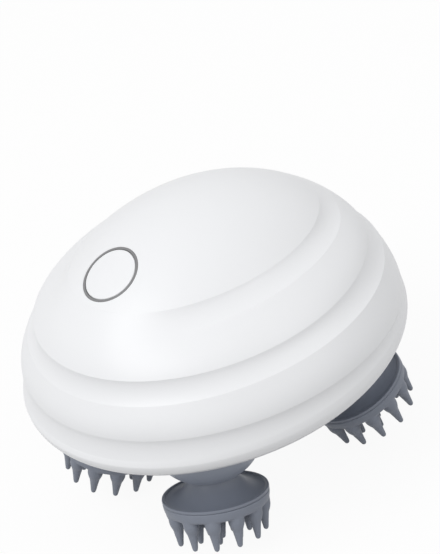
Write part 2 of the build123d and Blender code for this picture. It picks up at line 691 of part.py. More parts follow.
# ---------------------------------------------------------------- motor
MOTOR_RADIUS = 12.2
MOTOR_LENGTH = 16.0
MOTOR_FLAT = 10.0           # half-width across the can's flats
MOTOR_PINION_HEIGHT = 14.4
MOTOR_PINION_FACE = 2.6
ROTOR_DEPTH = 3.0           # how far the shaft's bore runs up into the can
ROTOR_PLAY = 0.5            # between the shaft's end and the bottom of that bore
CAN_ROUND = 1.0
FRONT_BOSS_LENGTH = 1.6
REAR_BOSS_LENGTH = 1.0
MOTOR_SCREW_HEAD = 1.0
MOTOR_SCREW_BITE = 1.8
MOTOR_HOLE_DEPTH = 2.0
motor_spot = [(motor_x, motor_y)]
motor_screw_places = [(motor_x + MOTOR_SCREW_OFFSET, motor_y), (motor_x - MOTOR_SCREW_OFFSET, motor_y)]

with BuildPart() as motor:
    with BuildSketch(place(motor_x, motor_y, GEARBOX_TOP)):
        Circle(MOTOR_RADIUS)
        Rectangle(2 * MOTOR_RADIUS, 2 * MOTOR_FLAT, mode=Mode.INTERSECT)
    extrude(amount=MOTOR_LENGTH)
    fillet(motor.faces().sort_by(Axis.Z)[-1].edges(), CAN_ROUND)
    post(level(GEARBOX_TOP), motor_spot, MOTOR_BOSS, -FRONT_BOSS_LENGTH)
    post(level(GEARBOX_TOP + MOTOR_LENGTH), motor_spot, MOTOR_BOSS, REAR_BOSS_LENGTH)
    post(level(GEARBOX_COVER), motor_spot, THIN_AXLE_RADIUS + RUNNING_GAP,
         GEARBOX_TOP - GEARBOX_COVER + ROTOR_DEPTH, Mode.SUBTRACT)
    post(level(GEARBOX_TOP), motor_screw_places, SCREW_RADIUS, MOTOR_HOLE_DEPTH, Mode.SUBTRACT)
save(motor, "motor")

with BuildPart() as motor_shaft:
    post(level(MOTOR_PINION_HEIGHT), motor_spot, THIN_AXLE_RADIUS,
         GEARBOX_TOP + ROTOR_DEPTH - ROTOR_PLAY - MOTOR_PINION_HEIGHT)
save(motor_shaft, "motor_shaft")

with BuildPart() as motor_pinion:
    pinion = gear_points(MOTOR_PINION_TEETH, COMPOUND_MODULE, MOTOR_ANGLE + 180 + 180 / MOTOR_PINION_TEETH)
    extrude(gear_face(place(motor_x, motor_y, MOTOR_PINION_HEIGHT), pinion), amount=MOTOR_PINION_FACE)
    post(level(MOTOR_PINION_HEIGHT), motor_spot, THIN_AXLE_RADIUS, MOTOR_PINION_FACE, Mode.SUBTRACT)
save(motor_pinion, "motor_pinion")

with BuildPart() as motor_screws:
    post(level(GEARBOX_COVER), motor_screw_places, SCREW_HEAD_RADIUS, -MOTOR_SCREW_HEAD)
    post(level(GEARBOX_COVER), motor_screw_places, SCREW_RADIUS,
         GEARBOX_TOP - GEARBOX_COVER + MOTOR_SCREW_BITE)
save(motor_screws, "motor_screws")

# ---------------------------------------------------------------- gearbox housing
GEARBOX_SCREW_HEAD_RADIUS = 2.0
GEARBOX_SCREW_HEAD = 1.4
GEARBOX_SCREW_END = 1.2     # above the underside

with BuildPart() as gearbox_base:
    with BuildSketch(level(GEARBOX_FLOOR)):
        gearbox_outline(GEARBOX_WALL)
    extrude(amount=GEARBOX_COVER - GEARBOX_FLOOR)
    post(level(GEARBOX_FLOOR), GEARBOX_COLUMNS, COLUMN_RADIUS, GEARBOX_COVER - GEARBOX_FLOOR)
    with BuildSketch(level(GEARBOX_FLOOR_TOP)):
        gearbox_outline()
    extrude(amount=GEARBOX_COVER - GEARBOX_FLOOR_TOP, mode=Mode.SUBTRACT)
    for head in head_axes.values():
        with BuildSketch(head.across(BUSH_TOP)):
            Circle(BUSH_BOSS)
        extrude(amount=-BUSH_TOP)
    split(bisect_by=level(GEARBOX_FLOOR), keep=Keep.TOP)
    for head in head_axes.values():
        with BuildSketch(head.across(BUSH_TOP)):
            Circle(BUSH_RADIUS)
        extrude(amount=-BUSH_TOP, mode=Mode.SUBTRACT)
    post(level(GEARBOX_FLOOR), [(0, 0)], AXLE_RADIUS, AXLE_SEAT, Mode.SUBTRACT)
    post(level(GEARBOX_FLOOR), [(0, compound_y)], THIN_AXLE_RADIUS, AXLE_SEAT, Mode.SUBTRACT)
    post(level(GEARBOX_FLOOR), GEARBOX_COLUMNS, GEARBOX_SCREW_RADIUS, GEARBOX_COVER, Mode.SUBTRACT)
save(gearbox_base, "gearbox_base")

with BuildPart() as gearbox_cover:
    with BuildSketch(level(GEARBOX_COVER)):
        gearbox_outline(GEARBOX_WALL)
        with Locations(*GEARBOX_COLUMNS):
            Circle(COLUMN_RADIUS)
        with Locations(*motor_spot):
            Circle(MOTOR_BOSS + HOLE_PLAY, mode=Mode.SUBTRACT)
        with Locations(*motor_screw_places):
            Circle(SCREW_RADIUS, mode=Mode.SUBTRACT)
        with Locations(*GEARBOX_COLUMNS):
            Circle(GEARBOX_SCREW_RADIUS, mode=Mode.SUBTRACT)
        with Locations((0, 0)):
            Circle(AXLE_RADIUS, mode=Mode.SUBTRACT)
        with Locations((0, compound_y)):
            Circle(THIN_AXLE_RADIUS, mode=Mode.SUBTRACT)
    extrude(amount=GEARBOX_TOP - GEARBOX_COVER)
save(gearbox_cover, "gearbox_cover")

with BuildPart() as gearbox_screws:
    post(level(GEARBOX_TOP), GEARBOX_COLUMNS, GEARBOX_SCREW_HEAD_RADIUS, GEARBOX_SCREW_HEAD)
    post(level(GEARBOX_SCREW_END), GEARBOX_COLUMNS, GEARBOX_SCREW_RADIUS,
         GEARBOX_TOP - GEARBOX_SCREW_END)
save(gearbox_screws, "gearbox_screws")

# ---------------------------------------------------------------- battery
CELL_RADIUS = 7.0
CELL_LENGTH = 43.0
CELL_Y = 25.0
CELL_ROUND = 0.6
CELL_NUB = (2.8, 0.8)       # radius and length of the positive end
CELL_END_PLAY = 0.2
CELL_PLAY = 0.02
CRADLE_WALL = 1.2
CRADLE_OVER = 1.0           # how far the cradle's sides rise past the cell's middle
cell_height = GEARBOX_TOP + CRADLE_WALL + CELL_RADIUS


def cell_plane(x):
    return Plane(origin=(x, CELL_Y, STAND + cell_height), x_dir=(0, 1, 0), z_dir=(1, 0, 0))


with BuildPart() as battery_cell:
    with BuildSketch(cell_plane(-CELL_LENGTH / 2)):
        Circle(CELL_RADIUS)
    extrude(amount=CELL_LENGTH - CELL_NUB[1])
    fillet(battery_cell.edges().filter_by(GeomType.CIRCLE), CELL_ROUND)
    with BuildSketch(cell_plane(CELL_LENGTH / 2 - CELL_NUB[1])):
        Circle(CELL_NUB[0])
    extrude(amount=CELL_NUB[1])
save(battery_cell, "battery_cell")

CRADLE_LENGTH = CELL_LENGTH + 2 * CRADLE_WALL + 2 * CELL_END_PLAY
with BuildPart() as battery_cradle:
    with BuildSketch(place(0, CELL_Y, GEARBOX_TOP)):
        Rectangle(CRADLE_LENGTH, 2 * CELL_RADIUS + 2 * CRADLE_WALL)
    extrude(amount=CELL_RADIUS + CRADLE_WALL + CRADLE_OVER)
    with BuildSketch(cell_plane(-CELL_LENGTH / 2 - CELL_END_PLAY)):
        Circle(CELL_RADIUS + CELL_PLAY)
        with Locations((0, CELL_RADIUS)):
            Rectangle(2 * (CELL_RADIUS + CELL_PLAY), 2 * CELL_RADIUS)
    extrude(amount=CELL_LENGTH + 2 * CELL_END_PLAY, mode=Mode.SUBTRACT)
save(battery_cradle, "battery_cradle")

# ---------------------------------------------------------------- head form, about the Z axis
# heights run down the head's axis from its back face
HEAD_BAND = 3.0
BAND_DRAFT = 0.4
FACE_SWELL = 0.6
FACE_FLAT = 6.0
SPIGOT_RADIUS = 4.2
SPIGOT_LENGTH = 2.0
ROOT_RADIUS = 2.1           # a rim tine's foot, nearly flush with the band
INNER_ROOT_RADIUS = 1.55
ROOT_HEIGHT = 2.8
INNER_ROOT_HEIGHT = 0.5
TINE_WAIST = 1.35           # a tine's radius where its foot ends
BACK_CHAMFER = 0.3
TINE_START = HEAD_BAND - 0.6

tip_start = HEAD_HEIGHT - TINE_TIP_RADIUS
tip_middle = (TINE_TIP_RADIUS * sin(pi / 4), tip_start + TINE_TIP_RADIUS * cos(pi / 4))
tine_feet = {"rim": (ROOT_RADIUS, ROOT_HEIGHT), "inner": (INNER_ROOT_RADIUS, INNER_ROOT_HEIGHT)}
tines = {}
for kind, (foot_radius, flare_height) in tine_feet.items():
    with BuildPart() as tine:
        with BuildSketch(Plane.XZ):
            with BuildLine():
                Polyline((0, TINE_START), (foot_radius, TINE_START), (foot_radius, HEAD_BAND),
                         (TINE_WAIST, HEAD_BAND + flare_height), (TINE_TIP_RADIUS, tip_start))
                ThreePointArc((TINE_TIP_RADIUS, tip_start), tip_middle, (0, HEAD_HEIGHT))
                Line((0, HEAD_HEIGHT), (0, TINE_START))
            make_face()
        revolve(axis=Axis.Z)
    tines[kind] = tine.part

band_end = (HEAD_RADIUS - BAND_DRAFT, HEAD_BAND)

with BuildPart() as head_form:
    with BuildSketch(Plane.XZ):
        with BuildLine():
            Polyline((0, HEAD_BAND + FACE_SWELL), (0, HEAD_GAP), (HEAD_RADIUS - BACK_CHAMFER, HEAD_GAP),
                     (HEAD_RADIUS, HEAD_GAP + BACK_CHAMFER), band_end, (FACE_FLAT, HEAD_BAND + FACE_SWELL),
                     (0, HEAD_BAND + FACE_SWELL))
        make_face()
    revolve(axis=Axis.Z)
    for ring, (reach, count) in enumerate(TINE_RINGS):
        with PolarLocations(reach * HEAD_RADIUS, count):
            add(tines["rim" if ring == 0 else "inner"])
    with BuildSketch(Plane.XY):
        RegularPolygon(SPIGOT_RADIUS + HEAD_GAP, 6)
    extrude(amount=SPIGOT_LENGTH + HEAD_GAP, mode=Mode.SUBTRACT)

# ---------------------------------------------------------------- the four head units
HUB_EDGE = 0.5
NECK_START = CUP_LIP - 1.6
FLARE_START = CUP_LIP + 0.6
CUP_TOP = -6.5
CUP_BEND = 1.0
CUP_MIDDLE = (13.7, 11.4)
CUP_LIP_LAND = 0.9          # height of the lip's inner face
CUP_MIDDLE_WALL = (1.3, 1.0)
FLARE_MIDDLE = (9.7, 3.2)   # radius, and height past the flare's start
SHAFT_STUB = 1.0            # the shaft's end past its gear
BUSH_SETBACK = 0.9
NECK_TAPER = 1.0
GEAR_HUB_RADIUS = 4.0
GEAR_HUB_LENGTH = 3.5
cup_outer = [(CUP_RADIUS, CUP_BEND), CUP_MIDDLE, (CUP_LIP_RADIUS, CUP_LIP)]
cup_inner = [(CUP_RADIUS - CUP_WALL, CUP_BEND),
             (CUP_MIDDLE[0] - CUP_MIDDLE_WALL[0], CUP_MIDDLE[1] - CUP_MIDDLE_WALL[1]),
             (NECK_RADIUS + AIR_GAP, CUP_LIP - CUP_LIP_LAND)]

for name, head in head_axes.items():
    with BuildPart() as output_gear:
        bevel_teeth(head.across(gear_along + BEVEL_FACE / 2), head.across(gear_along - BEVEL_FACE / 2),
                    180 / BEVEL_TEETH - head.azimuth, bevel_shrink)
        with BuildSketch(head.across(gear_along)):
            Circle(GEAR_HUB_RADIUS)
        extrude(amount=GEAR_HUB_LENGTH)
        with BuildSketch(head.across(gear_along)):
            Circle(SHAFT_RADIUS)
        extrude(amount=2 * BEVEL_FACE, both=True, mode=Mode.SUBTRACT)
    save(output_gear, f"output_gear_{name}")

    with BuildPart() as output_shaft:
        with BuildSketch(head.across(gear_along - BEVEL_FACE / 2 - SHAFT_STUB)):
            Circle(SHAFT_RADIUS)
        extrude(amount=SHAFT_END - gear_along + BEVEL_FACE / 2 + SHAFT_STUB)
    save(output_shaft, f"output_shaft_{name}")

    with BuildPart() as shaft_bush:
        with BuildSketch(head.across(BUSH_TOP)):
            Circle(BUSH_RADIUS)
            Circle(SHAFT_RADIUS + RUNNING_GAP, mode=Mode.SUBTRACT)
        extrude(amount=BUSH_END - BUSH_TOP - BUSH_SETBACK)
    save(shaft_bush, f"shaft_bush_{name}")

    with BuildPart() as shaft_seal:
        with BuildSketch(head.across(SEAL_TOP)):
            Circle(SEAL_RADIUS)
            Circle(SHAFT_RADIUS + RUNNING_GAP, mode=Mode.SUBTRACT)
        extrude(amount=SOCKET_END - SEAL_TOP - SEAL_SETBACK)
    save(shaft_seal, f"shaft_seal_{name}")

    with BuildPart() as shaft_cup:
        with BuildSketch(head.along()):
            with BuildLine():
                Polyline((CUP_RADIUS - CUP_WALL, CUP_BEND), (CUP_RADIUS - CUP_WALL, CUP_TOP),
                         (CUP_RADIUS, CUP_TOP), (CUP_RADIUS, CUP_BEND))
                ThreePointArc(*cup_outer)
                Polyline(cup_outer[-1], (NECK_RADIUS + AIR_GAP, CUP_LIP), cup_inner[-1])
                ThreePointArc(*cup_inner)
            make_face()
        revolve(axis=head.axis)
        split(bisect_by=level(0), keep=Keep.BOTTOM)
    save(shaft_cup, f"shaft_cup_{name}")

    with BuildPart() as drive_hub:
        with BuildSketch(head.along()):
            with BuildLine():
                rim = (HEAD_RADIUS, BACK_FACE - HUB_EDGE)
                flare_middle = (FLARE_MIDDLE[0], FLARE_START + FLARE_MIDDLE[1])
                Polyline((0, BACK_FACE), (0, SHAFT_END), (SHAFT_RADIUS, SHAFT_END),
                         (SHAFT_RADIUS, STEM_TOP), (STEM_RADIUS, STEM_TOP),
                         (STEM_RADIUS, NECK_START - NECK_TAPER), (NECK_RADIUS, NECK_START),
                         (NECK_RADIUS, FLARE_START))
                ThreePointArc((NECK_RADIUS, FLARE_START), flare_middle, rim)
                Polyline(rim, (HEAD_RADIUS, BACK_FACE), (0, BACK_FACE))
            make_face()
        revolve(axis=head.axis)
        with BuildSketch(head.across(BACK_FACE)):
            RegularPolygon(SPIGOT_RADIUS, 6)
        extrude(amount=SPIGOT_LENGTH)
    save(drive_hub, f"drive_hub_{name}")

    with BuildPart() as massage_head:
        with Locations(head.across(BACK_FACE).location):
            add(head_form.part)
    save(massage_head, f"massage_head_{name}")
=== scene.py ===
"""Electric scalp massager: case, button, port plug and massage heads, every part's finish and a studio."""

import json
from collections import namedtuple
from math import asin, atan2, cos, degrees, hypot, pi, radians, sin, sqrt

import bpy
from bpy.props import FloatProperty, FloatVectorProperty, IntProperty, PointerProperty
from mathutils import Matrix, Vector


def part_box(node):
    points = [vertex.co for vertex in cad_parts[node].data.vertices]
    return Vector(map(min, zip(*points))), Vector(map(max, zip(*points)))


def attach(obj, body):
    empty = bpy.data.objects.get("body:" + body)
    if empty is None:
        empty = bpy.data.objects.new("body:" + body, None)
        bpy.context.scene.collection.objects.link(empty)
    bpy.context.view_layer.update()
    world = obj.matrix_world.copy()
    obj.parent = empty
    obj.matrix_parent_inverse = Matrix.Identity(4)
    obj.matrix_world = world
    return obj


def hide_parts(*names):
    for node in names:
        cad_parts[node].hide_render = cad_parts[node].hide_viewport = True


bl_info = {
    "name": "Scalp Massager",
    "version": (1, 0, 0),
    "blender": (4, 5, 0),
    "location": "3D View > Sidebar > Massager",
    "description": "Models the case, button, port plug and massage heads of an electric scalp massager",
    "category": "Add Mesh",
}

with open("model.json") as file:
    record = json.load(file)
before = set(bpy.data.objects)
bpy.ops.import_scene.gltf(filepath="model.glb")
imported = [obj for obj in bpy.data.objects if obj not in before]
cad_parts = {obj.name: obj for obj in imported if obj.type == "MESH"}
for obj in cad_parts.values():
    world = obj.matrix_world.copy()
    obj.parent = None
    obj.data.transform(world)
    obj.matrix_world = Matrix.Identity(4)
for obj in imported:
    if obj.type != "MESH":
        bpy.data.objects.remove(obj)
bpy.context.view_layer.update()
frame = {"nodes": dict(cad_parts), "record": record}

MM = 0.001
HEADS = {"front_right": (1, -1), "front_left": (-1, -1), "rear_right": (1, 1), "rear_left": (-1, 1)}
SEAM = 3.0               # top shell's lower edge above the underside, mm
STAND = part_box("top_shell")[0].z / MM - SEAM  # floor to the underside of the case, mm


# ---- settings
def length_setting(name, description, default):
    """A length that is typed in millimetres here and kept in metres."""
    return FloatProperty(name=name, description=description, default=default * MM, min=0, unit="LENGTH",
                         precision=5)


def power_setting(name, description, default):
    return FloatProperty(name=name, description=description, default=default, unit="POWER")


def colour_setting(name, description, default):
    return FloatVectorProperty(name=name, description=description, default=default, size=3, min=0, max=1,
                               subtype="COLOR")


class CaseSettings(bpy.types.PropertyGroup):
    """Sizes of the oval case."""
    length: length_setting("Length", "Button end to port end", 116.0)
    width: length_setting("Width", "Left side to right side", 108.0)
    height: length_setting("Height", "Underside of the case to its crown", 52.3)
    turns: IntProperty(name="Turns", description="Faces around the case", default=256, min=32, max=512)


class HeadSettings(bpy.types.PropertyGroup):
    """Sizes of the massage heads and what carries them."""
    diameter: length_setting("Diameter", "Across a head's rim", 30.4)
    height: length_setting("Height", "A head's back face to its tine tips", 12.2)
    drop: length_setting("Drop", "Underside of the case to the middle of a head's back face", 21.0)
    tilt: FloatProperty(name="Tilt", description="How far each head leans outwards", default=radians(19.0),
                        subtype="ANGLE")
    softness: length_setting("Softness", "Grain of the silicone's rounded junctions", 0.27)
    turns: IntProperty(name="Turns", description="Faces around a hub or cup", default=112, min=24, max=256)


class ButtonSettings(bpy.types.PropertyGroup):
    """Sizes of the power button and its ring."""
    radius: length_setting("Radius", "Round button cap", 7.85)
    ring_radius: length_setting("Ring radius", "Outside of the grey ring", 8.75)
    ring_bore: length_setting("Ring bore", "Inside of the grey ring", 8.0)
    turns: IntProperty(name="Turns", description="Faces around the button", default=128, min=24, max=256)


class FinishSettings(bpy.types.PropertyGroup):
    """Colours of the finishes."""
    shell: colour_setting("Shell", "Satin white moulding", (0.86, 0.868, 0.885))
    # painted shade: the cover's white is greyer than the shell's, for the shade along the turned-under lower
    # edge
    cover: colour_setting("Cover", "Matt white underside", (0.74, 0.75, 0.77))
    ring: colour_setting("Ring", "Grey button ring", (0.22, 0.22, 0.225))
    silicone: colour_setting("Silicone", "Blue-grey silicone", (0.215, 0.236, 0.287))
    hub: colour_setting("Hub", "Blue-grey hubs", (0.2, 0.221, 0.27))
    # painted light: the cups are the hubs' blue-grey moulding, painted lighter to lift them in the shade
    # under the case
    cup: colour_setting("Cup", "Blue-grey shaft cups", (0.29, 0.317, 0.38))


class StageSettings(bpy.types.PropertyGroup):
    """The studio."""
    key: power_setting("Key light", "Power of the large soft light", 5.2)
    fill: power_setting("Fill light", "Power of the small soft light", 1.1)
    sky: FloatProperty(name="Sky", description="Strength of the even light from all round", default=0.64)
    lens: FloatProperty(name="Lens", description="Focal length in millimetres", default=130.9)


SETTINGS = {"massager_case": CaseSettings, "massager_head": HeadSettings, "massager_button": ButtonSettings,
            "massager_finish": FinishSettings, "massager_stage": StageSettings}


def chosen(name):
    return getattr(bpy.context.scene, "massager_" + name)


# ---- modelling by operators
MERGE_GAP = 0.002        # vertices nearer than this are one, mm


def leave_edit():
    if bpy.context.mode != "OBJECT":
        bpy.ops.object.mode_set(mode="OBJECT")


def pick(*pieces):
    """Only these objects are selected; the last one is active."""
    leave_edit()
    bpy.ops.object.select_all(action="DESELECT")
    for piece in pieces:
        piece.select_set(True)
        bpy.context.view_layer.objects.active = piece


def edit(piece):
    pick(piece)
    bpy.ops.object.mode_set(mode="EDIT")
    bpy.ops.mesh.select_all(action="SELECT")


def named(name):
    piece = bpy.context.object
    piece.name = name
    piece.data.name = name
    return piece


def draw_profile(name, points):
    """Edges through points (radius, height) in mm in the XZ plane, extruded one by one from a vertex."""
    pick()
    bpy.ops.mesh.primitive_plane_add(size=MM, location=(0, 0, 0))
    piece = named(name)
    edit(piece)
    bpy.ops.mesh.merge(type="CENTER")
    here = Vector((0, 0, 0))
    for step, (radius, height) in enumerate(points):
        there = Vector((radius, 0, height)) * MM
        if step == 0:
            bpy.ops.transform.translate(value=there - here)
        else:
            bpy.ops.mesh.extrude_vertices_move(TRANSFORM_OT_translate={"value": there - here})
        here = there
    return piece


def tidy_mesh(piece):
    """Merges doubles and turns all faces outwards."""
    edit(piece)
    bpy.ops.mesh.remove_doubles(threshold=MERGE_GAP * MM)
    bpy.ops.mesh.normals_make_consistent(inside=False)
    leave_edit()


def turned(name, points, turns):
    """A solid turned about the Z axis from a profile in mm whose ends meet or lie on the axis."""
    piece = draw_profile(name, points)
    bpy.ops.mesh.select_all(action="SELECT")
    bpy.ops.mesh.spin(steps=turns, angle=2 * pi, center=(0, 0, 0), axis=(0, 0, 1))
    tidy_mesh(piece)
    return piece


def modify(piece, kind, **settings):
    """Adds one modifier with these settings and applies it."""
    pick(piece)
    modifier = piece.modifiers.new(kind.title(), kind)
    for setting, value in settings.items():
        setattr(modifier, setting, value)
    bpy.ops.object.modifier_apply(modifier=modifier.name)


def cut(piece, cutter):
    """Takes the cutter's shape out of a piece."""
    modify(piece, "BOOLEAN", operation="DIFFERENCE", object=cutter, solver="EXACT")
    bpy.data.objects.remove(cutter)


def round_edges(piece, width, segments=3, least=60):
    """Rounds the edges that turn by at least an angle in degrees; the width is in mm."""
    modify(piece, "BEVEL", width=width * MM, segments=segments, limit_method="ANGLE",
           angle_limit=radians(least))


def settle(piece, matrix):
    """Puts a finished piece in place, with its place in its mesh."""
    piece.matrix_world = matrix
    pick(piece)
    bpy.ops.object.transform_apply(location=True, rotation=True, scale=True)


def shifted(x=0.0, y=0.0, z=0.0):
    """A shift in mm."""
    return Matrix.Translation((x * MM, y * MM, z * MM))


def copied(piece, name):
    """A copy with a mesh of its own."""
    pick(piece)
    bpy.ops.object.duplicate(linked=False)
    return named(name)


def joined(pieces, name):
    pick(*pieces)
    bpy.ops.object.join()
    return named(name)


def sink(piece, name, depths, direction, way=1):
    """Moves vertices, given by index, by their own depth in mm, against an axis or along it if way is -1."""
    deepest = max(depths.values())
    group = piece.vertex_groups.new(name=name)
    for index, depth in depths.items():
        group.add([index], depth / deepest, "REPLACE")
    modify(piece, "DISPLACE", vertex_group=name, direction=direction, mid_level=0,
           strength=-way * deepest * MM)
    piece.vertex_groups.clear()


def coat(piece, finish):
    piece.data.materials.clear()
    piece.data.materials.append(finish_of(finish))


def finish_piece(piece, body, slot, node, sharp=35.0, finish=None):
    """Smooths a piece, gives it its body and finish, and hides the CAD node that it stands for."""
    pick(piece)
    bpy.ops.object.shade_smooth_by_angle(angle=radians(sharp))
    coat(piece, finish or slot)
    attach(piece, body)
    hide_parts(node)
    if not piece.data.polygons:
        raise RuntimeError(f"{piece.name} has no faces")


def smooth_step(low, high, value):
    share = min(max((value - low) / (high - low), 0.0), 1.0)
    return share * share * (3 - 2 * share)


# ---- the case's form, in mm above its underside
CROWN_BASE = 3.8         # middle of the cap's dome
CAP_INSET = 0.3          # how far the cap's oval stays inside the case's at its ends
CAP_RATIO = 0.80         # the cap's width over its length
EDGE_RADIUS = 8.0        # of the edge turned under the widest line
INNER_HALF_LENGTH = 53.3  # the inner wall: its half-length,
INNER_SPRING = 10.0      # the height from which it leans in,
INNER_WIDE_TOP = 42.0    # and the top of its wide dome
INNER_CAP_HALF_LENGTH = 52.6  # the narrower dome under the cap
INNER_TOP = 48.7

# A line round the case: its height on the sides, its half-width and half-length, how far its middle lies
# to the rear, how much its two ends rise, and how much its rear rises and its front falls.
Oval = namedtuple("Oval", "height half_width half_length shift bow tilt")
LIP_1 = Oval(40.14, 30.6, 39.0, 2.4, 0.0, 0.0)  # follows the cap
SHOULDER_1 = Oval(36.2, 36.2, 43.6, 2.6, -2.6, -1.1)
LIP_2 = Oval(28.2, 45.2, 50.1, 0.9, -0.2, -0.9)
SHOULDER_2 = Oval(22.9, 49.2, 53.3, 1.3, -1.2, -0.8)
LIP_3 = Oval(13.2, 53.2, 56.7, 0.7, -1.4, -2.4)
SHOULDER_3 = Oval(8.4, 53.7, 57.4, 0.2, -0.5, 0.0)
WAIST = Oval(6.3, 54.0, 58.0, 0.0, 0.0, 0.0)  # the widest line

# The section between two of these lines is one curve with two handles: how far along each is, and how proud.
STEP = ((0.25, -0.95), (0.62, -0.9))
LAST_STEP = ((0.25, -0.65), (0.62, -0.5))
BAND = ((0.33, 0.45), (0.67, 1.05))
HEM = ((0.33, 0.05), (0.67, 0.06))
Section = namedtuple("Section", "start end handles rings")
SECTIONS = (Section(LIP_1, SHOULDER_1, STEP, 16), Section(SHOULDER_1, LIP_2, BAND, 20),
            Section(LIP_2, SHOULDER_2, STEP, 14), Section(SHOULDER_2, LIP_3, BAND, 18),
            Section(LIP_3, SHOULDER_3, LAST_STEP, 12), Section(SHOULDER_3, WAIST, HEM, 5))
CAP_RINGS = 46           # rings of faces on the cap, the turned-under edge and the inner wall
EDGE_RINGS = 10
INNER_RINGS = 30
HALVINGS = 30            # steps of the search for the rear's outline
LEAST_MOVE = 1e-5

# The first step fades out towards the case's two ends into one smooth curve.
FRONT_FADE = (16.0, 60.0)  # degrees from the end where it starts and where it is whole
REAR_FADE = (14.0, 52.0)
LEAST_STEP = 0.07        # what is left of it at the ends
SMOOTH_HANDLE = (0.63, 0.44)  # the smooth curve's handle, across and down between the first two lips
STEP_SHARE = 0.37        # the step's part of that way


def half_length():
    return chosen("case").length / MM / 2


def width_ratio():
    return chosen("case").width / chosen("case").length


def crown_rise():
    return chosen("case").height / MM - CROWN_BASE


def cap_half_length():
    return half_length() - CAP_INSET


def crown_height(x, y):
    """Height of the cap's dome over a point."""
    reach = (x / (CAP_RATIO * cap_half_length())) ** 2 + (y / cap_half_length()) ** 2
    return CROWN_BASE + crown_rise() * sqrt(max(1 - reach, 0))


def place_on_crown(y):
    """Point of the crown on the middle line, and the direction out of it there."""
    top = crown_height(0, y)
    out = Vector((0, y / cap_half_length() ** 2, (top - CROWN_BASE) / crown_rise() ** 2)).normalized()
    return Vector((0, y, top)), out


def depth_under_crown(start, against):
    """How far below a start point the crown lies, measured along a direction."""
    scale = Vector((1 / (CAP_RATIO * cap_half_length()), 1 / cap_half_length(), 1 / crown_rise()))
    origin = Vector(a * b for a, b in zip(start - Vector((0, 0, CROWN_BASE)), scale))
    ray = Vector(a * b for a, b in zip(against, scale))
    a, b, c = ray.dot(ray), origin.dot(ray), origin.dot(origin) - 1
    return (-b - sqrt(b * b - a * c)) / a


def on_oval(oval, turn):
    """The point of one line round the case in a direction, turned from the right side to the rear."""
    along = sin(turn)
    x = oval.half_width * cos(turn) * half_length() * width_ratio() / WAIST.half_width
    y = (oval.shift + oval.half_length * along) * half_length() / WAIST.half_length
    if oval is LIP_1:
        return Vector((x, y, crown_height(x, y)))
    return Vector((x, y, oval.height + oval.bow * along ** 2 + oval.tilt * along))


def step_whole(turn):
    """How much of the first step there is in a direction: all of it on the sides and little at the ends."""
    start, whole = FRONT_FADE if sin(turn) < 0 else REAR_FADE
    return LEAST_STEP + (1 - LEAST_STEP) * smooth_step(start, whole, degrees(asin(min(abs(cos(turn)), 1))))


def section_point(section, share, turn):
    """A point between two lines round the case, on a curve that stands proud of the straight way or sinks."""
    first, last = on_oval(section.start, turn), on_oval(section.end, turn)
    out = Vector((cos(turn) * WAIST.half_length, sin(turn) * WAIST.half_width, 0)).normalized()
    way = last - first
    proud = (out * -way.z + Vector((0, 0, out.dot(way)))).normalized()
    one, two = (first + way * along + proud * height for along, height in section.handles)
    rest = 1 - share
    return rest ** 3 * first + 3 * rest ** 2 * share * one + 3 * rest * share ** 2 * two + share ** 3 * last


def smooth_point(share, turn):
    """A point of the plain curve that joins the first two lips where the step has faded out."""
    first, last = on_oval(LIP_1, turn), on_oval(LIP_2, turn)
    way = last - first
    bend = first + Vector((way.x * SMOOTH_HANDLE[0], way.y * SMOOTH_HANDLE[0], way.z * SMOOTH_HANDLE[1]))
    return (1 - share) ** 2 * first + 2 * (1 - share) * share * bend + share ** 2 * last


def edge_share(height):
    """The turned-under edge's size at a height, as a share of the widest line."""
    drop = 1 - height / WAIST.height
    return 1 - EDGE_RADIUS / WAIST.half_length * (1 - sqrt(max(1 - drop ** 2, 0)))


def outside(level, turn):
    """The case's outside in a direction, at a level that is its height on the sides."""
    if level >= LIP_1.height:
        reach = CAP_RATIO * cap_half_length() * sqrt(max(1 - ((level - CROWN_BASE) / crown_rise()) ** 2, 0))
        lip = on_oval(LIP_1, turn) * min(reach / LIP_1.half_width, 1)
        return Vector((lip.x, lip.y, crown_height(lip.x, lip.y)))
    if level <= WAIST.height:
        waist = on_oval(WAIST, turn) * edge_share(level)
        return Vector((waist.x, waist.y, level))
    section = next(row for row in SECTIONS if level >= row.end.height)
    share = (section.start.height - level) / (section.start.height - section.end.height)
    point = section_point(section, share, turn)
    if section.start is LIP_1:
        return smooth_point(STEP_SHARE * share, turn).lerp(point, step_whole(turn))
    if section.start is SHOULDER_1:
        return smooth_point(STEP_SHARE + (1 - STEP_SHARE) * share, turn).lerp(point, step_whole(turn))
    return point


def inside(level, turn):
    """The case's inner wall: the wider of a low dome under the steps and a narrower one under the cap."""
    lean = max(level - INNER_SPRING, 0)
    reach = 0.0
    for length, top, ratio in ((INNER_HALF_LENGTH, INNER_WIDE_TOP, width_ratio()),
                               (INNER_CAP_HALF_LENGTH, INNER_TOP, CAP_RATIO)):
        size = length * sqrt(max(1 - (lean / (top - INNER_SPRING)) ** 2, 0))
        reach = max(reach, size / hypot(cos(turn) / ratio, sin(turn)))
    return Vector((reach * cos(turn), reach * sin(turn), level))


def crown_reach(level):
    """Half-length of the plain dome that the outside is pushed out of."""
    rise = max(level - WAIST.height, 0) / (chosen("case").height / MM - WAIST.height)
    return WAIST.half_length * sqrt(max(1 - rise ** 2, 0))


def rear_reach(height):
    """How far to the rear the outside is at a height on the middle line."""
    low, high = 0.0, chosen("case").height / MM
    for _ in range(HALVINGS):
        level = (low + high) / 2
        if outside(level, pi / 2).z > height:
            high = level
        else:
            low = level
    return outside(low, pi / 2).y


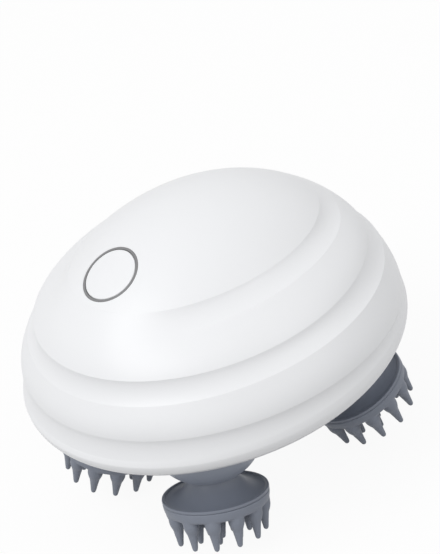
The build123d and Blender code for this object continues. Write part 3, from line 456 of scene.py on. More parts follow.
def outside_levels(lowest):
    """Levels of the rings outside, from the crown down, closer together near the lips and shoulders."""
    levels = []
    for ring in range(CAP_RINGS):
        reach = LIP_1.half_width * sin(pi / 2 * ring / CAP_RINGS)
        levels.append(crown_height(reach, 0))
    for section in SECTIONS:
        for ring in range(section.rings):
            share = (1 - cos(pi * ring / section.rings)) / 2
            levels.append(section.start.height + (section.end.height - section.start.height) * share)
    return levels + edge_levels(WAIST.height, lowest)


def edge_levels(top, lowest):
    """Levels of the rings of the turned-under edge, closer together near the widest line."""
    start, end = sqrt(1 - top / WAIST.height), sqrt(1 - lowest / WAIST.height)
    return [WAIST.height * (1 - (start + (end - start) * ring / EDGE_RINGS) ** 2)
            for ring in range(EDGE_RINGS + 1)]


def push_to(piece, places):
    """Moves vertices to places in mm, given by index, along one axis after another."""
    start = {index: piece.data.vertices[index].co / MM for index in places}
    for axis, name in enumerate("XYZ"):
        for way in (1, -1):
            moves = {index: way * (place[axis] - start[index][axis]) for index, place in places.items()}
            moves = {index: move for index, move in moves.items() if move > LEAST_MOVE}
            if moves:
                sink(piece, "push", moves, name, -way)


def peg(name, radius, length, matrix, sides=64):
    """A plain round or many-sided cutter or pin, from the matrix's origin along its Z, in mm."""
    pick()
    bpy.ops.mesh.primitive_cylinder_add(vertices=sides, radius=radius * MM, depth=length * MM,
                                        location=(0, 0, length * MM / 2))
    piece = named(name)
    pick(piece)
    bpy.ops.object.transform_apply(location=True, rotation=True, scale=True)
    settle(piece, matrix)
    return piece


def facing(origin, out, along=Vector((1, 0, 0))):
    """A frame in metres with Z out of a point, which is given in mm from the middle of the underside."""
    z = out.normalized()
    x = (along - z * along.dot(z)).normalized()
    y = z.cross(x)
    place = (Vector(origin) + Vector((0, 0, STAND))) * MM
    return Matrix([(x[row], y[row], z[row], place[row]) for row in range(3)] + [(0, 0, 0, 1)])


# ---- case pieces; sizes in mm
OUTSIDE_MARGIN = 0.1     # a vertex this near to the plain dome is on its outside
BUTTON_Y = -27.5         # the button's middle on the crown's middle line
BORE_BELOW = 8.0         # how far under the crown the cutter of its bore starts
BORE_LENGTH = 12.0
BORE_SIDES = 192
BUTTON_EDGE = 0.3        # rounding of the cap's edge
BUTTON_RINGS = 26
EDGE_TURNS = (pi / 8, pi / 4, 3 * pi / 8, pi / 2)  # where a rounded edge has its points
SAG_START = -1.0         # what lies above this in the button's frame follows the crown
FLANGE_RADIUS = 8.6
FLANGE_TOP = -4.9
FLANGE_BASE = -5.7
POST_RADIUS = 1.4        # the post under the cap that presses the switch
POST_END = -6.9
RING_DEPTH = 4.6
RING_FIT = 0.01
RING_EDGE = 0.12         # rounding of the ring's two edges
RING_PROUD = (0.02, 0.05)  # how proud of the crown the ring is at its edges and in its middle
SEAM_GAP = 0.25
COVER_FLOOR = 2.2        # thickness of the bottom cover
COVER_LEDGE = 1.6        # how far its rim reaches in from the inner wall
SHAFT_HOLE = (2.4, 12.0)  # radius and length of the cutter
PLUG_HALF = (7.5, 3.3)   # half-width and half-height
PLUG_THICKNESS = 1.6
PLUG_HEIGHT = 8.0        # its middle above the underside
PLUG_EDGE = 0.25
PLUG_GAP = 0.15
PLUG_STEM = (3.8, 1.0)
PLUG_STEM_DEPTH = 4.0
PLUG_STEM_OVERLAP = 0.2
PULL_LIP = (2.6, 0.35)   # the small lip that a fingernail catches
PULL_LIP_LENGTH = 0.5
PULL_LIP_DEPTH = 0.52    # how far it starts inside the case's rear end
PULL_LIP_UP = 2.2
PULL_LIP_EDGE = 0.16
RECESS_LENGTH = 6.0
PORT_OPENING = (4.8, 1.9)
PORT_OPENING_LENGTH = 8.0
CUT_BELOW = 1.0          # how far a cutter starts outside what it cuts
CORNERS = ((1, 1), (1, -1), (-1, 1), (-1, -1))
CASE_SCREWS = (38.0, 24.0)  # their places to the side and along the case
CASE_SCREW_RADIUS = 1.2
CASE_SCREW_HEAD = 2.4
CASE_SCREW_TOP = 0.2     # how deep their heads are sunk
CASE_SCREW_LENGTH = 14.0
CASE_SCREW_POINT = (0.4, 1.0)  # the blunt point's radius and length
CASE_SCREW_SIDES = 40
SCREW_HEAD_HEIGHT = 1.2
SCREW_CROWN = ((0, 0.02), (0.7, 0.02), (0.93, 0.12), (1, 0.35))  # share of the head's radius, and depth
SCREW_GAP = 0.2
SCREW_CROSS = (1.25, 0.26)
SCREW_CROSS_START = -0.4
SCREW_CROSS_LENGTH = 1.2
SCREW_TURN = (0.7, 0.4)  # each screw ended its last turn somewhere else


def stadium(name, half, length, matrix, sides=48):
    """A bar with round ends, from the matrix's origin along its Z; half is its half-width and half-height."""
    piece = peg(name, half[1], length, Matrix.Identity(4), sides)
    edit(piece)
    bpy.ops.mesh.select_all(action="DESELECT")
    leave_edit()
    for side in (1, -1):
        for vertex in piece.data.vertices:
            vertex.select = side * vertex.co.x > 1e-6
        bpy.ops.object.mode_set(mode="EDIT")
        bpy.ops.transform.translate(value=(side * (half[0] - half[1]) * MM, 0, 0))
        bpy.ops.mesh.select_all(action="DESELECT")
        leave_edit()
    settle(piece, matrix)
    return piece


def button_frame():
    return facing(*place_on_crown(BUTTON_Y))


def rear_frame(y):
    """Frame of the port and its plug at a place along the case, with Z to the rear."""
    return facing((0, y, PLUG_HEIGHT), Vector((0, 1, 0)), Vector((-1, 0, 0)))


def screw_frame(side, end, level):
    return facing((side * CASE_SCREWS[0], end * CASE_SCREWS[1], level), Vector((0, 0, 1)))


class MASSAGER_OT_top_shell(bpy.types.Operator):
    """Model the stepped top shell"""
    bl_idname = "massager.top_shell"
    bl_label = "Top Shell"

    def execute(self, context):
        levels = outside_levels(SEAM)
        outline = [(crown_reach(level), level) for level in levels]
        wall = [(INNER_HALF_LENGTH, SEAM)]
        for ring in range(INNER_RINGS + 1):
            turn = pi / 2 * ring / INNER_RINGS
            wall.append((INNER_HALF_LENGTH * cos(turn) if ring < INNER_RINGS else 0.0,
                         INNER_SPRING + (INNER_TOP - INNER_SPRING) * sin(turn)))
        piece = turned("shell_top", outline + wall, chosen("case").turns)
        places = {}
        for vertex in piece.data.vertices:
            x, y, level = vertex.co / MM
            form = outside if hypot(x, y) > crown_reach(level) - OUTSIDE_MARGIN else inside
            places[vertex.index] = form(level, atan2(y, x))
        push_to(piece, places)
        settle(piece, shifted(z=STAND))
        cut(piece, peg("ring_bore", chosen("button").ring_radius / MM, BORE_LENGTH,
                       button_frame() @ shifted(z=-BORE_BELOW), BORE_SIDES))
        cut(piece, stadium("plug_recess", (PLUG_HALF[0] + PLUG_GAP, PLUG_HALF[1] + PLUG_GAP), RECESS_LENGTH,
                           rear_frame(half_length() - PLUG_THICKNESS - PLUG_GAP)))
        cut(piece, stadium("port_opening", PORT_OPENING, PORT_OPENING_LENGTH,
                           rear_frame(INNER_HALF_LENGTH - CUT_BELOW)))
        finish_piece(piece, "case", "shell_white", "top_shell")
        return {"FINISHED"}


class MASSAGER_OT_bottom_cover(bpy.types.Operator):
    """Model the bottom cover"""
    bl_idname = "massager.bottom_cover"
    bl_label = "Bottom Cover"

    def execute(self, context):
        top = SEAM - SEAM_GAP
        wall = INNER_HALF_LENGTH - COVER_LEDGE
        edge = [(half_length() * edge_share(level), level) for level in edge_levels(top, 0)]
        points = edge + [(0, 0), (0, COVER_FLOOR), (wall, COVER_FLOOR), (wall, top), edge[0]]
        piece = turned("shell_cover", points, chosen("case").turns)
        settle(piece, shifted(z=STAND) @ Matrix.Diagonal((width_ratio(), 1, 1, 1)))
        for side, end in CORNERS:
            spot = screw_frame(side, end, -CUT_BELOW)
            cut(piece, peg("screw_recess", CASE_SCREW_HEAD + SCREW_GAP,
                           CUT_BELOW + CASE_SCREW_TOP + SCREW_HEAD_HEIGHT, spot))
            cut(piece, peg("screw_hole", CASE_SCREW_RADIUS + SCREW_GAP, CUT_BELOW + SEAM, spot))
        radius, length = SHAFT_HOLE
        for side, end in HEADS.values():
            cut(piece, peg("shaft_hole", radius, length, head_frame(side, end) @ shifted(z=-length / 2)))
        finish_piece(piece, "case", "cover_white", "bottom_cover")
        return {"FINISHED"}


def crown_sag(piece):
    """Depth in mm, by vertex, from the flat top of an upright piece down to the crown where the button is."""
    depths = {}
    origin, out = place_on_crown(BUTTON_Y)
    turn = button_frame().to_3x3()
    for vertex in piece.data.vertices:
        if vertex.co.z / MM > SAG_START:
            flat = Vector((vertex.co.x, vertex.co.y, 0)) / MM
            depths[vertex.index] = max(depth_under_crown(origin + turn @ flat, -out), 0.0)
    return depths


class MASSAGER_OT_button(bpy.types.Operator):
    """Model the power button's cap and its ring"""
    bl_idname = "massager.button"
    bl_label = "Power Button"

    def execute(self, context):
        button = chosen("button")
        place = button_frame()
        radius = button.radius / MM
        flat = radius - BUTTON_EDGE
        top = [(flat * step / BUTTON_RINGS, 0.0) for step in range(BUTTON_RINGS + 1)]
        edge = [(flat + BUTTON_EDGE * sin(turn), -BUTTON_EDGE + BUTTON_EDGE * cos(turn))
                for turn in EDGE_TURNS]
        skirt = [(radius, FLANGE_TOP + 0.2), (radius, FLANGE_TOP), (FLANGE_RADIUS, FLANGE_TOP),
                 (FLANGE_RADIUS, FLANGE_BASE), (POST_RADIUS, FLANGE_BASE), (POST_RADIUS, POST_END),
                 (0, POST_END)]
        cap = turned("button_cap", top + edge + skirt, button.turns)
        sink(cap, "sag", crown_sag(cap), "Z")
        settle(cap, place)
        finish_piece(cap, "button", "shell_white", "power_button")

        outer, inner = button.ring_radius / MM - RING_FIT, button.ring_bore / MM
        low, high = RING_PROUD
        points = [(inner, -RING_DEPTH), (inner, -RING_EDGE), (inner + RING_EDGE, low),
                  ((outer + inner) / 2, high), (outer - RING_EDGE, low), (outer, -RING_EDGE),
                  (outer, -RING_DEPTH), (inner, -RING_DEPTH)]
        ring = turned("button_trim", points, button.turns)
        sink(ring, "sag", crown_sag(ring), "Z")
        settle(ring, place)
        finish_piece(ring, "case", "ring_grey", "button_ring")
        return {"FINISHED"}


class MASSAGER_OT_port_plug(bpy.types.Operator):
    """Model the charging port's silicone plug"""
    bl_idname = "massager.port_plug"
    bl_label = "Port Plug"

    def execute(self, context):
        back = half_length() - PLUG_THICKNESS
        piece = stadium("port_plug_cap", PLUG_HALF, PLUG_THICKNESS, Matrix.Identity(4), sides=64)
        round_edges(piece, PLUG_EDGE)
        edit(piece)
        bpy.ops.mesh.quads_convert_to_tris(quad_method="BEAUTY", ngon_method="BEAUTY")
        leave_edit()
        depths = {}
        for vertex in piece.data.vertices:
            if vertex.co.z / MM > PLUG_THICKNESS / 2:
                height = PLUG_HEIGHT + vertex.co.y / MM
                reach = rear_reach(height)
                across = vertex.co.x / MM / width_ratio()
                depths[vertex.index] = max(half_length() - sqrt(reach ** 2 - across ** 2), 0.0)
        sink(piece, "sag", depths, "Z")
        settle(piece, rear_frame(back))
        stem = stadium("plug_stem", PLUG_STEM, PLUG_STEM_DEPTH + PLUG_STEM_OVERLAP,
                       rear_frame(back - PLUG_STEM_DEPTH))
        lip = stadium("plug_lip", PULL_LIP, PULL_LIP_LENGTH,
                      rear_frame(half_length() - PULL_LIP_DEPTH) @ shifted(y=PULL_LIP_UP))
        round_edges(lip, PULL_LIP_EDGE)
        finish_piece(joined([stem, lip, piece], "port_plug_cap"), "plug", "silicone_grey", "port_plug")
        return {"FINISHED"}


class MASSAGER_OT_case_screws(bpy.types.Operator):
    """Model the cross-head screws of the case"""
    bl_idname = "massager.case_screws"
    bl_label = "Case Screws"

    def execute(self, context):
        head = CASE_SCREW_HEAD
        point_radius, point_length = CASE_SCREW_POINT
        points = [(head * share, depth) for share, depth in SCREW_CROWN]
        points += [(head, SCREW_HEAD_HEIGHT), (CASE_SCREW_RADIUS, SCREW_HEAD_HEIGHT),
                   (CASE_SCREW_RADIUS, CASE_SCREW_LENGTH - point_length),
                   (point_radius, CASE_SCREW_LENGTH), (0, CASE_SCREW_LENGTH)]
        screw = turned("case_screw", points, CASE_SCREW_SIDES)
        for turn in (0, pi / 2):
            cut(screw, stadium("cross", SCREW_CROSS, SCREW_CROSS_LENGTH,
                               shifted(z=SCREW_CROSS_START) @ Matrix.Rotation(turn, 4, "Z"), sides=16))
        screws = []
        for side, end in CORNERS:
            each = copied(screw, "case_screw_part")
            turn = Matrix.Rotation(SCREW_TURN[0] * side + SCREW_TURN[1] * end, 4, "Z")
            settle(each, screw_frame(side, end, CASE_SCREW_TOP) @ turn)
            screws.append(each)
        bpy.data.objects.remove(screw)
        finish_piece(joined(screws, "case_screw_set"), "case", "steel", "case_screws")
        return {"FINISHED"}


# ---- heads; mm, lengths down a head's axis
HEAD_FOOT = (18.3, 22.8)  # where the axes pass the underside, to the side and along the case
HEAD_BAND = 3.0          # height of a head's outer band
HEAD_GAP = 0.06          # between a head and its hub
PAD_DOME = (0.45, 0.6)   # its pad's rise over the band, half way in and in the middle
PAD_SIDES = 160
TINES = ((0.83, 12, 2.3), (0.52, 8, 1.6), (0.22, 4, 1.6))  # rings: share of the radius, count, root radius
TINE_ROOT = ((1, 1.6), (0.9, 2.6))  # share of the root radius, and height above the band
TINE_BODY = ((1.5, 4.0), (1.12, 6.2))  # radius and height above the band of two points of the taper
TINE_START = 1.2         # where in the pad they begin, from its back face
TINE_TIP = 0.8           # radius of their round tips
TINE_SIDES = 24
TINE_PHASE = -0.2        # how far they are turned, as a share of the way to the next
SPIGOT_RADIUS = 4.2      # the hexagon that a head slides on
SPIGOT_LENGTH = 2.0
SPIGOT_SINK = 0.01       # how far its foot is inside the hub
SPIGOT_EDGE = (0.2, 2, 40)  # width, segments and least angle
SHAFT_RADIUS = 2.0
SHAFT_END = 17.5         # where the hub's bore ends
STEM_TOP = 7.6
STEM_RADIUS = 6.6
NECK_RADIUS = 7.2
NECK_BACK = 7.5          # from the head's back face up to the neck, the flare and the cup's lip
FLARE_BACK = 5.3
CUP_LIP_BACK = 5.9
FLARE_BEND = (9.7, 3.15)  # a point of the hub's flare: radius, and length down from its start
# The hub's raised rim: how far inside the head's radius each point is, and how far above its back face.
HUB_RIM = ((1.1, 0.62), (0.8, 0.86), (0.4, 0.95), (0.08, 0.82), (0, 0.5), (0, 0.12), (0.12, 0))
CUP_RADIUS = 16.0
CUP_WALL = 1.5
CUP_BEND = 1.0           # where the cup starts to close in
CUP_LIP_RADIUS = 8.5
CUP_LIP_EDGE = 0.25
CUP_MOUTH = ((0.5, 0), (0.3, 0.2), (0.3, 0.9))  # how far outside the neck, and above the lip
CUP_OUTSIDE = (13.7, 11.4)  # a point of the cup's outside and one of its inside
CUP_INSIDE = (12.4, 10.4)
CUP_TOP = -6.5


def head_radius():
    return chosen("head").diameter / MM / 2


def back_face():
    """Distance down a head's axis from the underside to the head's back face."""
    return chosen("head").drop / MM / cos(chosen("head").tilt)


def head_frame(side, end):
    """Frame of a head in metres: Z down its axis from the underside, X towards the middle of the case."""
    tilt = chosen("head").tilt
    spread = atan2(end * HEAD_FOOT[1], side * HEAD_FOOT[0])
    outward = Vector((cos(spread), sin(spread), 0))
    down = outward * sin(tilt) - Vector((0, 0, cos(tilt)))
    inward = outward * -cos(tilt) - Vector((0, 0, sin(tilt)))
    return facing((side * HEAD_FOOT[0], end * HEAD_FOOT[1], 0), down, inward)


def on_heads(form, prefix, level=0.0):
    """A copy of a form for each head, a length in mm down its axis; the form itself is removed at the end."""
    for name, (side, end) in HEADS.items():
        piece = copied(form, prefix + name)
        settle(piece, head_frame(side, end) @ shifted(z=level))
        yield piece, name
    bpy.data.objects.remove(form)


def arc(start, middle, end, steps):
    """Points of the circle through three points, the first left out."""
    (x1, y1), (x2, y2), (x3, y3) = start, middle, end
    d = 2 * (x1 * (y2 - y3) + x2 * (y3 - y1) + x3 * (y1 - y2))
    a, b, c = x1 * x1 + y1 * y1, x2 * x2 + y2 * y2, x3 * x3 + y3 * y3
    cx = (a * (y2 - y3) + b * (y3 - y1) + c * (y1 - y2)) / d
    cy = (a * (x3 - x2) + b * (x1 - x3) + c * (x2 - x1)) / d
    radius = hypot(x1 - cx, y1 - cy)
    first = atan2(y1 - cy, x1 - cx)
    sweep = (atan2(y3 - cy, x3 - cx) - first + pi) % (2 * pi) - pi
    return [(cx + radius * cos(first + sweep * step / steps), cy + radius * sin(first + sweep * step / steps))
            for step in range(1, steps + 1)]


def tine_points(root, height):
    """Profile of a blunt tine, from inside the pad up a straight root and a taper to its round tip."""
    end = height - TINE_TIP
    return ([(0, TINE_START), (root, TINE_START)]
            + [(root * share, HEAD_BAND + rise) for share, rise in TINE_ROOT]
            + [(radius, HEAD_BAND + rise) for radius, rise in TINE_BODY] + [(TINE_TIP, end)]
            + [(TINE_TIP * cos(turn), end + TINE_TIP * sin(turn)) for turn in EDGE_TURNS[:-1]]
            + [(0, height)])


class MASSAGER_OT_heads(bpy.types.Operator):
    """Model the silicone massage heads"""
    bl_idname = "massager.heads"
    bl_label = "Massage Heads"

    def execute(self, context):
        settings = chosen("head")
        radius = head_radius()
        rim = radius - 0.4
        pad = [(0, HEAD_GAP), (radius - 0.15, HEAD_GAP), (radius, HEAD_GAP + 0.15), (radius - 0.12, 1.6),
               (rim + 0.02, HEAD_BAND - 0.3), (rim - 0.35, HEAD_BAND + 0.1)]
        pad += arc(pad[-1], (radius / 2, HEAD_BAND + PAD_DOME[0]), (0, HEAD_BAND + PAD_DOME[1]), steps=10)
        pieces = [turned("pad", pad, PAD_SIDES)]
        for reach, count, root in TINES:
            tine = turned("tine", tine_points(root, settings.height / MM), TINE_SIDES)
            for step in range(count):
                each = copied(tine, "tine_part")
                turn = 2 * pi * (step + TINE_PHASE) / count
                settle(each, Matrix.Rotation(turn, 4, "Z") @ shifted(x=reach * radius))
                pieces.append(each)
            bpy.data.objects.remove(tine)
        head = joined(pieces, "head_form")
        modify(head, "REMESH", mode="VOXEL", voxel_size=settings.softness, adaptivity=0)
        modify(head, "SMOOTH", factor=0.5, iterations=4)
        cut(head, peg("head_socket", SPIGOT_RADIUS + HEAD_GAP, SPIGOT_LENGTH + 2 * HEAD_GAP + CUT_BELOW,
                      shifted(z=HEAD_GAP - CUT_BELOW), sides=6))
        for piece, name in on_heads(head, "head_", back_face()):
            finish_piece(piece, "head_" + name, "silicone_grey", "massage_head_" + name, sharp=50)
        return {"FINISHED"}


class MASSAGER_OT_hubs(bpy.types.Operator):
    """Model the turning hubs that carry the heads"""
    bl_idname = "massager.hubs"
    bl_label = "Drive Hubs"

    def execute(self, context):
        radius = head_radius()
        face = back_face()
        neck = face - NECK_BACK
        flare = face - FLARE_BACK
        points = [(0, SHAFT_END), (SHAFT_RADIUS, SHAFT_END), (SHAFT_RADIUS, STEM_TOP),
                  (STEM_RADIUS, STEM_TOP), (STEM_RADIUS, neck - 1), (NECK_RADIUS, neck), (NECK_RADIUS, flare)]
        rim = [(radius - inset, face - rise) for inset, rise in HUB_RIM]
        points += arc(points[-1], (FLARE_BEND[0], flare + FLARE_BEND[1]), rim[0], steps=22)
        points += rim[1:] + [(0, face)]
        hub = turned("hub_form", points, chosen("head").turns)
        spigot = peg("spigot", SPIGOT_RADIUS, SPIGOT_LENGTH, shifted(z=face - SPIGOT_SINK), sides=6)
        round_edges(spigot, *SPIGOT_EDGE)
        hub = joined([spigot, hub], "hub_form")
        for piece, name in on_heads(hub, "hub_"):
            finish_piece(piece, "drive_" + name, "hub_grey", "drive_hub_" + name, sharp=40)
        return {"FINISHED"}


class MASSAGER_OT_cups(bpy.types.Operator):
    """Model the bowl-shaped cups under the case"""
    bl_idname = "massager.cups"
    bl_label = "Shaft Cups"

    def execute(self, context):
        lip = back_face() - CUP_LIP_BACK
        bore = CUP_RADIUS - CUP_WALL
        points = [(bore, CUP_TOP), (CUP_RADIUS, CUP_TOP), (CUP_RADIUS, CUP_BEND)]
        points += arc(points[-1], CUP_OUTSIDE, (CUP_LIP_RADIUS, lip - CUP_LIP_EDGE), steps=26)
        points += [(CUP_LIP_RADIUS - CUP_LIP_EDGE, lip)]
        points += [(NECK_RADIUS + gap, lip - rise) for gap, rise in CUP_MOUTH]
        points += arc(points[-1], CUP_INSIDE, (bore, CUP_BEND), steps=16) + [(bore, CUP_TOP)]
        cup = turned("cup_form", points, chosen("head").turns)
        for piece, name in on_heads(cup, "cup_"):
            edit(piece)
            bpy.ops.mesh.bisect(plane_co=(0, 0, STAND * MM), plane_no=(0, 0, 1), use_fill=True,
                                clear_outer=True)
            tidy_mesh(piece)
            # painted light: the cups get the hubs' blue-grey painted lighter, for the shade under the case
            finish_piece(piece, "case", "hub_grey", "shaft_cup_" + name, sharp=40, finish="cup_grey_painted_lighter")
        return {"FINISHED"}


# ---- finishes
class Signal:
    """A node's output whose arithmetic adds Math nodes."""

    def __init__(self, nodes, socket):
        self.nodes = nodes
        self.socket = socket

    def _math(self, operation, first, second):
        return self.nodes.out("ShaderNodeMath", {0: first, 1: second}, operation=operation)

    def __add__(self, other):
        return self._math("ADD", self, other)

    def __radd__(self, other):
        return self._math("ADD", other, self)

    def __mul__(self, other):
        return self._math("MULTIPLY", self, other)

    def __rmul__(self, other):
        return self._math("MULTIPLY", other, self)


class Nodes:
    """The nodes of a material or of the world."""

    def __init__(self, tree):
        self.tree = tree
        tree.nodes.clear()

    def add(self, kind, sockets=None, **settings):
        """A node with its settings, then the values or links of its sockets."""
        node = self.tree.nodes.new(kind)
        for setting, value in settings.items():
            setattr(node, setting, value)
        for socket, value in (sockets or {}).items():
            if isinstance(value, Signal):
                value = value.socket
            if isinstance(value, bpy.types.NodeSocket):
                self.tree.links.new(value, node.inputs[socket])
            else:
                node.inputs[socket].default_value = value
        return node

    def out(self, kind, sockets=None, output=0, **settings):
        return Signal(self, self.add(kind, sockets, **settings).outputs[output])

    def seen_directly(self):
        """1 for rays from the camera, and for those through or off glossy and clear things."""
        rays = self.add("ShaderNodeLightPath").outputs
        seen = rays["Is Camera Ray"]
        for kind in ("Is Glossy Ray", "Is Transmission Ray"):
            seen = self.out("ShaderNodeMath", {0: seen, 1: rays[kind]}, operation="MAXIMUM")
        return seen


class Finish(Nodes):
    """A material's nodes around one Principled BSDF."""

    def __init__(self, name, **surface):
        self.material = bpy.data.materials.new(name)
        self.material.use_nodes = True
        super().__init__(self.material.node_tree)
        self.shader = self.add("ShaderNodeBsdfPrincipled", surface)
        self.output = self.add("ShaderNodeOutputMaterial", {"Surface": self.shader.outputs["BSDF"]})
        self.place = self.add("ShaderNodeTexCoord").outputs["Object"]

    def noise(self, size, detail, roughness=0.5):
        """Noise from 0 to 1 whose features are about a size in mm."""
        return self.out("ShaderNodeTexNoise", {"Vector": self.place, "Scale": 1 / (size * MM),
                                               "Detail": detail, "Roughness": roughness}, output="Fac")

    def mix(self, factor, first, second):
        """A colour between two colours."""
        first, second = ((*value, 1.0) if isinstance(value, tuple) else value for value in (first, second))
        return self.out("ShaderNodeMix", {0: factor, 6: first, 7: second}, output=2, data_type="RGBA")

    def drift(self, size, detail, colour, spread):
        """A colour that drifts between a darker and a lighter tone of its own."""
        dark, light = (tuple(min(part * share, 1.0) for part in colour) for share in (1 - spread, 1 + spread))
        return self.mix(self.noise(size, detail), dark, light)

    def feed(self, socket, value):
        self.tree.links.new(value.socket, self.shader.inputs[socket])

    def bump(self, height, distance):
        """Fine relief, its full height in mm."""
        self.feed("Normal", self.out("ShaderNodeBump", {"Height": height, "Distance": distance * MM}))


def moulded(name, colour, tone, rough, rough_spread, grain, relief):
    """Moulded plastic: a faint drift of tone, a satin roughness and a fine spark-eroded grain."""
    finish = Finish(name)
    finish.feed("Base Color", finish.drift(24.0, 3.0, colour, tone))
    finish.feed("Roughness", rough - rough_spread + 2 * rough_spread * finish.noise(3.2, 4.0))
    finish.bump(finish.noise(grain, 3.0, 0.6), relief)
    return finish.material


def silicone(name, colour, dust):
    """Silicone: soft, dull, with a little dust in its finest pits."""
    finish = Finish(name, **{"Specular IOR Level": 0.42, "Sheen Weight": 0.12, "Sheen Roughness": 0.5})
    base = finish.drift(9.0, 3.0, colour, 0.05)
    specks = finish.out("ShaderNodeMapRange", {"Value": finish.noise(0.5, 4.0, 0.7), "From Min": 0.62,
                                               "From Max": 0.8, "To Min": 0.0, "To Max": 0.16})
    finish.feed("Base Color", finish.mix(specks, base, dust))
    finish.feed("Roughness", 0.5 + 0.14 * finish.noise(2.4, 4.0))
    finish.bump(finish.noise(0.16, 3.0, 0.6), 0.008)
    return finish.material


def metal(name, colour, size, rough, rough_spread, marks, detail):
    """Bare machined metal: a faint drift of tone, a finer one of its gloss and very fine marks."""
    finish = Finish(name, Metallic=1.0)
    finish.feed("Base Color", finish.drift(size, 4.0, colour, 0.08))
    finish.feed("Roughness", rough + rough_spread * finish.noise(size / 2, 4.0))
    finish.bump(finish.noise(marks, detail), 0.003)
    return finish.material


def board(name, mask, copper):
    """Solder mask with paler copper traces beneath it."""
    finish = Finish(name)
    traces = finish.out("ShaderNodeTexBrick", {"Vector": finish.place, "Scale": 1 / (4.2 * MM),
                                               "Mortar Size": 0.045, "Mortar Smooth": 0.15},
                        output="Fac", offset=0.37, squash=1.4)
    finish.feed("Base Color", finish.mix(traces, mask, copper))
    finish.feed("Roughness", 0.26 + 0.1 * finish.noise(1.0, 3.0))
    finish.bump(traces, 0.02)
    return finish.material


# The finish of each slot, and of the cups, whose colour is the hubs' blue-grey painted lighter as painted
# light
# for the shade under the case: its name, how it is built, its colour or the setting that holds it, and the
# values that its build takes.
FINISHES = {
    "shell_white": ("satin_white_moulding", moulded, "shell", 0.012, 0.4, 0.04, 0.22, 0.006),
    # painted shade: a greyer white than the shell's, for the shade along the turned-under lower edge
    "cover_white": ("matt_white_moulding", moulded, "cover", 0.015, 0.5, 0.05, 0.3, 0.012),
    "ring_grey": ("grey_trim", moulded, "ring", 0.03, 0.3, 0.05, 0.12, 0.004),
    "hub_grey": ("blue_grey_moulding", moulded, "hub", 0.03, 0.46, 0.05, 0.2, 0.008),
    # painted light: the hubs' blue-grey painted lighter for the cups in the shade under the case
    "cup_grey_painted_lighter": ("pale_blue_grey_moulding", moulded, "cup", 0.03, 0.46, 0.05, 0.2, 0.008),
    "silicone_grey": ("blue_grey_silicone", silicone, "silicone", (0.3, 0.31, 0.33)),
    "steel": ("plain_steel", metal, (0.55, 0.56, 0.58), 1.4, 0.24, 0.16, 0.1, 3.0),
    "brass": ("turned_brass", metal, (0.72, 0.5, 0.2), 1.2, 0.22, 0.14, 0.12, 2.0),
    "board_green": ("solder_mask", board, (0.012, 0.1, 0.035), (0.04, 0.2, 0.075)),
    "chip_black": ("chip_package", moulded, (0.012, 0.012, 0.014), 0.03, 0.42, 0.05, 0.2, 0.006),
    "switch_white": ("switch_plunger_white", moulded, (0.72, 0.72, 0.69), 0.03, 0.4, 0.05, 0.2, 0.006),
    "gear_nylon": ("natural_nylon", moulded, (0.76, 0.74, 0.66), 0.03, 0.44, 0.05, 0.35, 0.01),
    "inner_plastic": ("dark_moulding", moulded, (0.035, 0.038, 0.042), 0.03, 0.5, 0.05, 0.3, 0.012),
    "cell_wrap": ("shrink_wrap", moulded, (0.02, 0.1, 0.26), 0.03, 0.24, 0.05, 0.9, 0.01),
}


def finish_of(key):
    """A finish of the table, built the first time it is asked for."""
    name, build, colour, *values = FINISHES[key]
    if isinstance(colour, str):
        colour = getattr(chosen("finish"), colour)
    return bpy.data.materials.get(name) or build(name, colour, *values)


class MASSAGER_OT_inner_finishes(bpy.types.Operator):
    """Give every CAD node that stays its own finish"""
    bl_idname = "massager.inner_finishes"
    bl_label = "Inner Finishes"

    def execute(self, context):
        for row in frame["record"]["subparts"]:
            coat(frame["nodes"][row["node"]], row["material_slot"])
        return {"FINISHED"}


# ---- studio
CAMERA_PLACE = (0.3932, -0.2621, 0.3756)
CAMERA_RIGHT = (0.6624, 0.7186, -0.2117)
CAMERA_UP = (-0.2972, 0.5115, 0.8062)
CAMERA_BACK = (0.6877, -0.4711, 0.5524)
SENSOR_WIDTH = 36.0      # mm
CLIP = (0.01, 20.0)
FLOOR_SIZE = 8.0
FLOOR_ROUGHNESS = 0.9
FLOOR_TONES = ((0.9, 0.9, 0.9), (0.92, 0.92, 0.92))
FLOOR_BOUNCE = (0.45, 0.45, 0.45)  # the floor's colour in the light that it gives back
FLOOR_GLOW = 0.93        # how much of the floor that is seen is plain white
WHITE = (1, 1, 1, 1)
KEY_PLACE = (0.03, -0.68, 0.95)
KEY_SIZE = 0.8
FILL_PLACE = (0.8, 0.35, 0.6)
FILL_SIZE = 0.6
LIGHT_TARGET = Vector((0, 0, 0.05))


def soft_light(name, place, size, power):
    """A round lamp that points at the massager."""
    light = bpy.data.lights.new(name, "AREA")
    light.shape = "DISK"
    light.size = size
    light.energy = power
    lamp = bpy.data.objects.new(name, light)
    bpy.context.scene.collection.objects.link(lamp)
    lamp.location = place
    lamp.rotation_euler = (LIGHT_TARGET - Vector(place)).to_track_quat("-Z", "Y").to_euler()


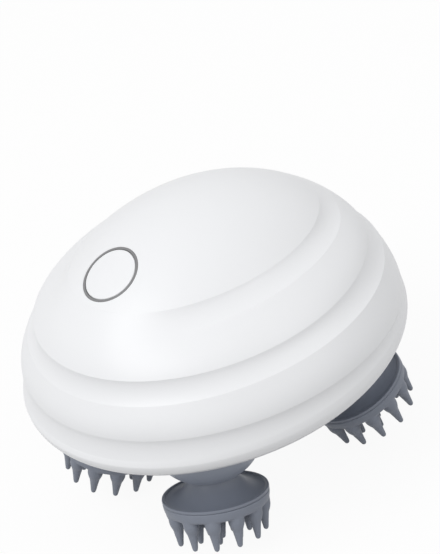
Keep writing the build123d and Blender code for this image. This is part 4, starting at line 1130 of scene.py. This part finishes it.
class MASSAGER_OT_stage(bpy.types.Operator):
    """Set up the floor, the lights and the camera"""
    bl_idname = "massager.stage"
    bl_label = "Stage"

    def execute(self, context):
        scene = context.scene
        stage = chosen("stage")
        pick()
        bpy.ops.mesh.primitive_grid_add(x_subdivisions=4, y_subdivisions=4, size=FLOOR_SIZE,
                                        location=(0, 0, 0))
        floor = named("floor")
        finish = Finish("pale_floor", Roughness=FLOOR_ROUGHNESS)
        direct = finish.seen_directly()
        tone = finish.mix(finish.noise(180.0, 2.0), *FLOOR_TONES)
        finish.feed("Base Color", finish.mix(direct, FLOOR_BOUNCE, tone))
        white = finish.out("ShaderNodeEmission", {"Color": WHITE, "Strength": 1.0})
        blend = finish.out("ShaderNodeMixShader", {0: FLOOR_GLOW * direct, 1: finish.shader.outputs["BSDF"],
                                                   2: white})
        finish.tree.links.new(blend.socket, finish.output.inputs["Surface"])
        floor.data.materials.append(finish.material)

        world = bpy.data.worlds.new("studio")
        scene.world = world
        world.use_nodes = True
        sky = Nodes(world.node_tree)
        strength = sky.out("ShaderNodeMapRange", {"Value": sky.seen_directly(), "To Min": stage.sky,
                                                  "To Max": 1.0})
        light = sky.out("ShaderNodeBackground", {"Color": WHITE, "Strength": strength})
        sky.add("ShaderNodeOutputWorld", {"Surface": light})

        soft_light("key_light", KEY_PLACE, KEY_SIZE, stage.key)
        soft_light("fill_light", FILL_PLACE, FILL_SIZE, stage.fill)

        camera = bpy.data.cameras.new("camera")
        camera.lens = stage.lens
        camera.sensor_width = SENSOR_WIDTH
        camera.clip_start, camera.clip_end = CLIP
        viewer = bpy.data.objects.new("camera", camera)
        scene.collection.objects.link(viewer)
        viewer.matrix_world = Matrix([*zip(CAMERA_RIGHT, CAMERA_UP, CAMERA_BACK, CAMERA_PLACE), (0, 0, 0, 1)])
        scene.camera = viewer
        scene.view_settings.view_transform = "Standard"
        return {"FINISHED"}


OPERATORS = (MASSAGER_OT_inner_finishes, MASSAGER_OT_top_shell, MASSAGER_OT_bottom_cover, MASSAGER_OT_button,
             MASSAGER_OT_port_plug, MASSAGER_OT_case_screws, MASSAGER_OT_cups, MASSAGER_OT_hubs,
             MASSAGER_OT_heads, MASSAGER_OT_stage)


class MASSAGER_PT_panel(bpy.types.Panel):
    """Sizes, colours and pieces of the massager"""
    bl_idname = "MASSAGER_PT_panel"
    bl_label = "Scalp Massager"
    bl_space_type = "VIEW_3D"
    bl_region_type = "UI"
    bl_category = "Massager"

    def draw(self, context):
        layout = self.layout
        for name, group in SETTINGS.items():
            box = layout.box()
            box.label(text=name.removeprefix("massager_").title())
            for field in group.__annotations__:
                box.prop(getattr(context.scene, name), field)
        for operator in OPERATORS:
            layout.operator(operator.bl_idname)


CLASSES = tuple(SETTINGS.values()) + OPERATORS + (MASSAGER_PT_panel,)


def register():
    for item in CLASSES:
        bpy.utils.register_class(item)
    for name, group in SETTINGS.items():
        setattr(bpy.types.Scene, name, PointerProperty(type=group))


def unregister():
    for name in SETTINGS:
        delattr(bpy.types.Scene, name)
    for item in reversed(CLASSES):
        bpy.utils.unregister_class(item)


def main():
    register()
    for operator in OPERATORS:
        group, name = operator.bl_idname.split(".")
        getattr(getattr(bpy.ops, group), name)()


if __name__ == "__main__":
    main()
